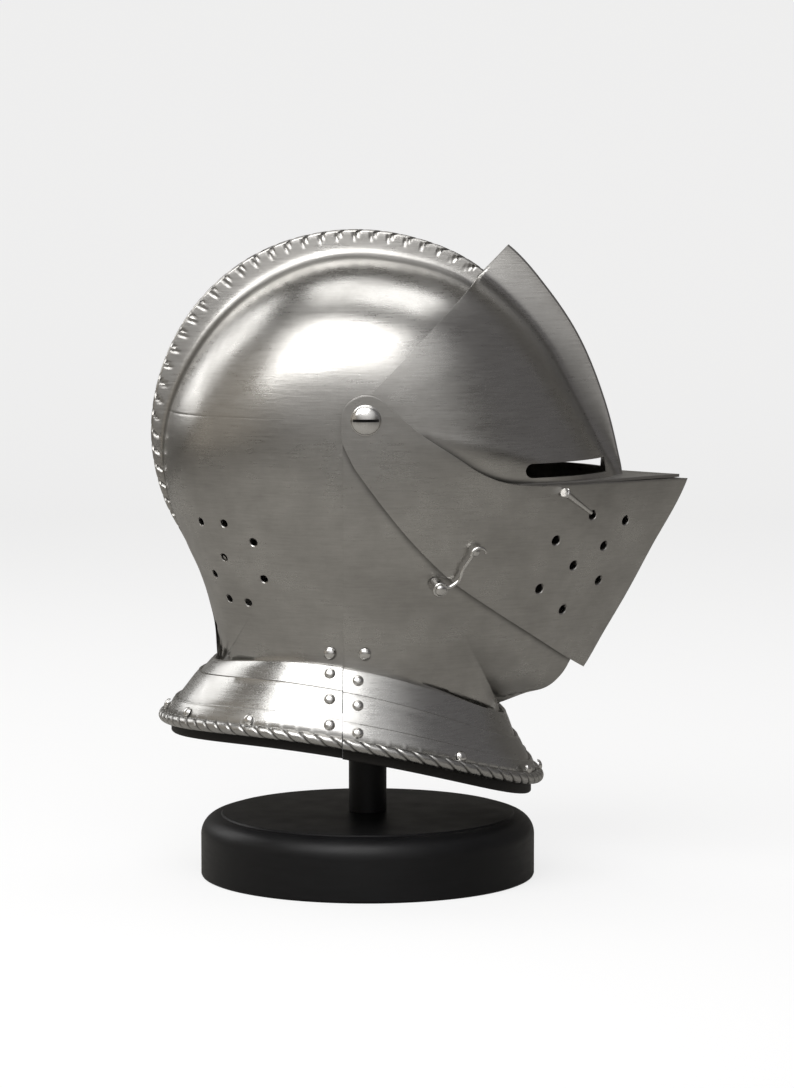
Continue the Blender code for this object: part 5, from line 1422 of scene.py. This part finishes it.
class HELMET_OT_hook(bpy.types.Operator):
    """Make the latch hook with its rivet and stud, and the lifting peg"""

    bl_idname = "helmet.hook"
    bl_label = "Hook and peg"

    def execute(self, context):
        joint = JOINTS["hook_swivel"]
        axis = np.array(joint["axis"], float)
        axis /= np.linalg.norm(axis)
        origin = np.array(joint["pos_m"], float)
        hook = node_points("latch_hook")
        heights = (hook - origin) @ axis
        middle = (heights.min() + heights.max()) / 2
        stud_frame, stud_radius, stud_height = standing_frame("hook_stud", axis)
        to_stud = stud_frame[:3, 3] - origin
        to_stud -= axis * (to_stud @ axis)
        reach = np.linalg.norm(to_stud)
        along = to_stud / reach
        matrix = np.eye(4)
        matrix[:3, :3] = np.stack([along, np.cross(axis, along), axis], 1)
        matrix[:3, 3] = origin

        def placed(points):
            return np.asarray(points, float) @ matrix[:3, :3].T + matrix[:3, 3]

        disc, waist, curl, wire = 4.6 * MM, 3.8 * MM, 4.6 * MM, 0.95 * MM
        path = [(0.66 * disc, -0.4 * waist), (0.18 * reach, -0.82 * waist), (0.34 * reach, -waist),
                (0.46 * reach, -0.72 * waist), (0.58 * reach, -0.05 * waist)]
        turns = np.radians(np.linspace(150, -30, 9))
        path += [(reach + curl * math.cos(t), curl * math.sin(t)) for t in turns]
        flat = line_through(path, 1.0, 90)
        line = placed(np.column_stack([flat, np.full(len(flat), middle)]))
        share = np.linspace(0, 1, len(line))
        thick, thin = np.clip(share / 0.25, 0, 1), np.clip((share - 0.9) / 0.1, 0, 1)
        radii = wire * (1.35 - 0.35 * thick) * (1 - 0.35 * thin)
        bar = tube("latch_hook_bar", line, radii)
        half = (heights.max() - heights.min()) / 2
        ring = matrix.copy()
        ring[:3, 3] = origin + axis * middle
        turn = np.linspace(math.pi / 2, -math.pi / 2, 13)
        bead = np.stack([disc - half * 0.9 + half * 0.9 * np.cos(turn), half * np.sin(turn)], 1)
        bore = [(1.9 * MM, -half), (1.9 * MM, half)]
        loop = np.vstack([bead, bore, bead[:1]])
        eye = turned("latch_hook_eye", loop, 48, ring)
        mesh = shade(joined("latch_hook", [bar, eye]))
        dressed(new_piece("latch_hook_bar", mesh, "hook", "bright_steel", "latch_hook"), "bright")

        rivet_frame, foot, _ = standing_frame("hook_rivet", axis)
        rivet = (node_points("hook_rivet") - rivet_frame[:3, 3]) @ axis
        top = rivet.max()
        neck = middle - (rivet_frame[:3, 3] - origin) @ axis
        over, under = neck + half + SEAT_GAP, neck - half - SEAT_GAP
        turn = np.linspace(math.pi / 2, 0, 9)
        dome = np.stack([3.4 * MM * np.cos(turn), over + (top - over) * np.sin(turn)], 1)
        dome[0, 0] = 0.0
        stem = [(1.5 * MM, over), (1.5 * MM, under), (3.8 * MM, under), (foot, 0.0), (0.0, 0.0)]
        mesh = shade(turned("hook_rivet_head", np.vstack([dome, stem]), 40, rivet_frame), 50)
        dressed(new_piece("hook_rivet_head", mesh, "bevor", "bright_steel", "hook_rivet"), "bright")

        turn = np.linspace(math.pi / 2, 0, 9)
        dome = np.stack([stud_radius * np.cos(turn), stud_height + 1.6 * MM * (np.sin(turn) - 1)], 1)
        dome[0, 0] = 0.0
        stem = [(stud_radius, 0.0), (0.0, 0.0)]
        mesh = shade(turned("hook_stud_head", np.vstack([dome, stem]), 36, stud_frame), 50)
        dressed(new_piece("hook_stud_head", mesh, "ventail", "bright_steel", "hook_stud"), "bright")

        points = node_points("lifting_peg")
        spread = points - points.mean(0)
        direction = np.linalg.eigh(spread.T @ spread)[1][:, -1]
        if direction[0] < 0:
            direction = -direction
        peg_frame, collar, length = standing_frame("lifting_peg", direction)
        root, tip = 2.1 * MM, 1.2 * MM
        turn = np.linspace(math.pi / 2, 0, 8)
        end = np.stack([tip * np.cos(turn), length + 0.9 * MM * (np.sin(turn) - 1)], 1)
        end[0, 0] = 0.0
        rod = [(root * 0.95, 3.0 * MM), (root * 1.1, 2.3 * MM), (collar - 0.4 * MM, 2.2 * MM),
               (collar, 1.8 * MM), (collar, 0.4 * MM), (collar - 0.4 * MM, 0.0), (0.0, 0.0)]
        mesh = shade(turned("lifting_peg_pin", np.vstack([end, rod]), 36, peg_frame), 40)
        dressed(new_piece("lifting_peg_pin", mesh, "ventail", "bright_steel", "lifting_peg"), "bright")
        return {"FINISHED"}


class HELMET_OT_stand(bpy.types.Operator):
    """Make the turned base and post"""

    bl_idname = "helmet.stand"
    bl_label = "Stand"

    def execute(self, context):
        _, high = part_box("stand_base")
        radius, height = high.x, high.z
        shoulder = 12 * MM
        turn = np.linspace(math.pi / 2, 0, 18)
        bend = np.stack([radius - shoulder * (1 - np.cos(turn)),
                         height - 0.8 * MM - shoulder * (1 - np.sin(turn))], 1)
        top = radius - shoulder
        disc = [(0.0, height), (0.7 * top, height), (top - 0.9 * MM, height),
                (top - 0.5 * MM, height - 0.3 * MM)]
        foot = [(radius, 1.5 * MM), (radius - 0.5 * MM, 0.5 * MM), (radius - 1.5 * MM, 0.0), (0.0, 0.0)]
        mesh = shade(turned("stand_base_disc", np.vstack([disc, bend, foot]), 160), 25)
        dressed(new_piece("stand_base_disc", mesh, "helm", "stand_wood", "stand_base"), "paint")
        low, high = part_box("stand_post")
        cap, post = high.x, 11.4 * MM
        dome = np.linspace(0, 1, 12)
        crown = np.stack([cap * dome, high.z - 9 * MM * dome**1.7], 1)
        stem = [(cap, high.z - 15 * MM), (post + 3 * MM, high.z - 15 * MM), (post, high.z - 18 * MM)]
        foot = [(post, low.z), (0.0, low.z)]
        mesh = shade(turned("stand_post_rod", np.vstack([crown, stem, foot]), 96), 40)
        dressed(new_piece("stand_post_rod", mesh, "helm", "stand_wood", "stand_post"), "paint")
        return {"FINISHED"}


# The camera: its sensor's height in mm, its focal length in pixels of a frame 1088 high, its place, and how
# many degrees it looks down
SENSOR, FOCAL_PIXELS, PHOTO_HEIGHT = 24.0, 3682, 1088
CAMERA_PLACE, CAMERA_DOWN = (17.7 * MM, -2.2, 0.4), 5.2


def area_light(name, place, aim, size, power):
    """A rectangular soft light at a place, aimed at a point."""
    data = bpy.data.lights.new(name, "AREA")
    data.shape = "RECTANGLE"
    data.size, data.size_y = size
    data.energy = power
    light = bpy.data.objects.new(name, data)
    bpy.context.scene.collection.objects.link(light)
    light.location = place
    light.rotation_euler = (Vector(aim) - Vector(place)).to_track_quat("-Z", "Y").to_euler()


class HELMET_OT_studio(bpy.types.Operator):
    """Make the pale floor, the soft lights and the camera"""

    bl_idname = "helmet.studio"
    bl_label = "Studio"

    def execute(self, context):
        scene = context.scene
        scene.view_settings.view_transform = "Standard"
        make_floor(scene)
        make_room(scene)
        middle = (0.0, 0.0, 0.27)
        area_light("key", (-0.42, -0.95, 1.36), middle, (1.45, 1.15), 23)
        area_light("overhead", (0.1, 0.5, 2.3), middle, (1.8, 1.2), 16)
        area_light("rear", (-1.3, 0.9, 1.1), middle, (0.9, 1.2), 8)
        data = bpy.data.cameras.new("camera")
        camera = bpy.data.objects.new("camera", data)
        scene.collection.objects.link(camera)
        data.sensor_fit = "VERTICAL"
        data.sensor_height = SENSOR
        data.lens = SENSOR * FOCAL_PIXELS / PHOTO_HEIGHT
        data.clip_end = 50
        camera.location = CAMERA_PLACE
        camera.rotation_euler = (math.radians(90 - CAMERA_DOWN), 0, 0)
        scene.camera = camera
        return {"FINISHED"}


def make_floor(scene):
    """A pale floor that bends up into a wall behind; in the steel's reflections it is a duller grey."""
    reach, bend, wall, back = 6.0, 1.2, 3.0, 2.6
    turn = np.linspace(0, math.pi / 2, 16)
    curve = np.stack([back + bend * np.sin(turn), bend - bend * np.cos(turn)], 1)
    profile = np.vstack([[-4.0, 0.0], curve, [back + bend, bend + wall]])
    points = np.stack([np.stack([np.full(len(profile), x), profile[:, 0], profile[:, 1]], 1)
                       for x in (-reach, reach)])
    mesh = bpy.data.meshes.new("floor")
    mesh.from_pydata(points.reshape(-1, 3).tolist(), [], grid_faces(0, 2, len(profile)).tolist())
    mesh.shade_smooth()
    floor = bpy.data.objects.new("floor", mesh)
    scene.collection.objects.link(floor)
    paper = bpy.data.materials.new("pale_paper")
    paper.use_nodes = True
    nodes, links = paper.node_tree.nodes, paper.node_tree.links
    nodes.clear()
    out = nodes.new("ShaderNodeOutputMaterial")
    path = nodes.new("ShaderNodeLightPath")
    choose = nodes.new("ShaderNodeMixShader")
    dull = nodes.new("ShaderNodeBsdfDiffuse")
    dull.inputs["Color"].default_value = (0.34, 0.33, 0.31, 1)
    seen = nodes.new("ShaderNodeAddShader")
    glow = nodes.new("ShaderNodeEmission")
    glow.inputs["Strength"].default_value = 0.76
    pale = nodes.new("ShaderNodeBsdfDiffuse")
    pale.inputs["Color"].default_value = (0.2, 0.2, 0.2, 1)
    links.new(glow.outputs[0], seen.inputs[0])
    links.new(pale.outputs[0], seen.inputs[1])
    links.new(path.outputs["Is Camera Ray"], choose.inputs["Fac"])
    links.new(dull.outputs[0], choose.inputs[1])
    links.new(seen.outputs[0], choose.inputs[2])
    links.new(choose.outputs[0], out.inputs["Surface"])
    mesh.materials.append(paper)


# What the steel reflects besides the lights: a direction, the cosine in its soft edge, a colour
ROOM = (
    ((-0.97, -0.22, 0.12), 0.84, (0.36, 0.33, 0.29)),
    ((-0.15, -0.97, 0.22), 0.93, (0.10, 0.095, 0.09)),
    ((0.05, -0.82, 0.57), 0.86, (0.80, 0.80, 0.81)),
    ((0.85, 0.10, 0.55), 0.75, (0.10, 0.10, 0.11)),
)


def make_room(scene):
    """The world: near white for the camera, and for reflections a dark room with soft paler places."""
    world = bpy.data.worlds.new("studio")
    scene.world = world
    world.use_nodes = True
    nodes, links = world.node_tree.nodes, world.node_tree.links
    nodes.clear()
    out = nodes.new("ShaderNodeOutputWorld")
    place = nodes.new("ShaderNodeTexCoord")
    total = nodes.new("ShaderNodeRGB").outputs[0]
    total.default_value = (0.066, 0.061, 0.054, 1)
    for direction, edge, colour in ROOM:
        aim = nodes.new("ShaderNodeVectorMath")
        aim.operation = "DOT_PRODUCT"
        aim.inputs[1].default_value = Vector(direction).normalized()
        links.new(place.outputs["Generated"], aim.inputs[0])
        soft = nodes.new("ShaderNodeMapRange")
        soft.interpolation_type = "SMOOTHSTEP"
        soft.inputs["From Min"].default_value = edge - 0.2
        soft.inputs["From Max"].default_value = min(edge + 0.15, 1.0)
        links.new(aim.outputs["Value"], soft.inputs["Value"])
        add = nodes.new("ShaderNodeMix")
        add.data_type = "RGBA"
        add.blend_type = "ADD"
        add.inputs["B"].default_value = (*colour, 1)
        links.new(soft.outputs["Result"], add.inputs["Factor"])
        links.new(total, add.inputs["A"])
        total = add.outputs["Result"]
    reflected = nodes.new("ShaderNodeBackground")
    links.new(total, reflected.inputs["Color"])
    seen = nodes.new("ShaderNodeBackground")
    seen.inputs["Color"].default_value = (0.91, 0.91, 0.91, 1)
    path = nodes.new("ShaderNodeLightPath")
    choose = nodes.new("ShaderNodeMixShader")
    links.new(path.outputs["Is Camera Ray"], choose.inputs["Fac"])
    links.new(reflected.outputs[0], choose.inputs[1])
    links.new(seen.outputs[0], choose.inputs[2])
    links.new(choose.outputs[0], out.inputs["Surface"])


OPERATORS = (HELMET_OT_studio, HELMET_OT_stand, HELMET_OT_skull, HELMET_OT_visor, HELMET_OT_ventail,
             HELMET_OT_bevor, HELMET_OT_neck, HELMET_OT_rivets, HELMET_OT_screws, HELMET_OT_hook)


class HELMET_PT_panel(bpy.types.Panel):
    """Lists the helmet's pieces in the sidebar"""

    bl_idname = "HELMET_PT_panel"
    bl_label = "Close helmet"
    bl_space_type = "VIEW_3D"
    bl_region_type = "UI"
    bl_category = "Close helmet"

    def draw(self, context):
        for group in (context.scene.helmet_finish, context.scene.helmet_sizes):
            for label in group.__annotations__:
                self.layout.prop(group, label)
        for operator in OPERATORS:
            self.layout.operator(operator.bl_idname)


def register():
    """Register the property groups, the operators and the panel."""
    for each in (HELMET_finish, HELMET_sizes, *OPERATORS, HELMET_PT_panel):
        bpy.utils.register_class(each)
    bpy.types.Scene.helmet_finish = bpy.props.PointerProperty(type=HELMET_finish)
    bpy.types.Scene.helmet_sizes = bpy.props.PointerProperty(type=HELMET_sizes)


def unregister():
    """Take back what register made."""
    del bpy.types.Scene.helmet_sizes
    del bpy.types.Scene.helmet_finish
    for each in (HELMET_PT_panel, *OPERATORS[::-1], HELMET_sizes, HELMET_finish):
        bpy.utils.unregister_class(each)


def main():
    """Make every piece."""
    register()
    for each in OPERATORS:
        group, name = each.bl_idname.split(".")
        getattr(getattr(bpy.ops, group), name)()


if __name__ == "__main__":
    main()
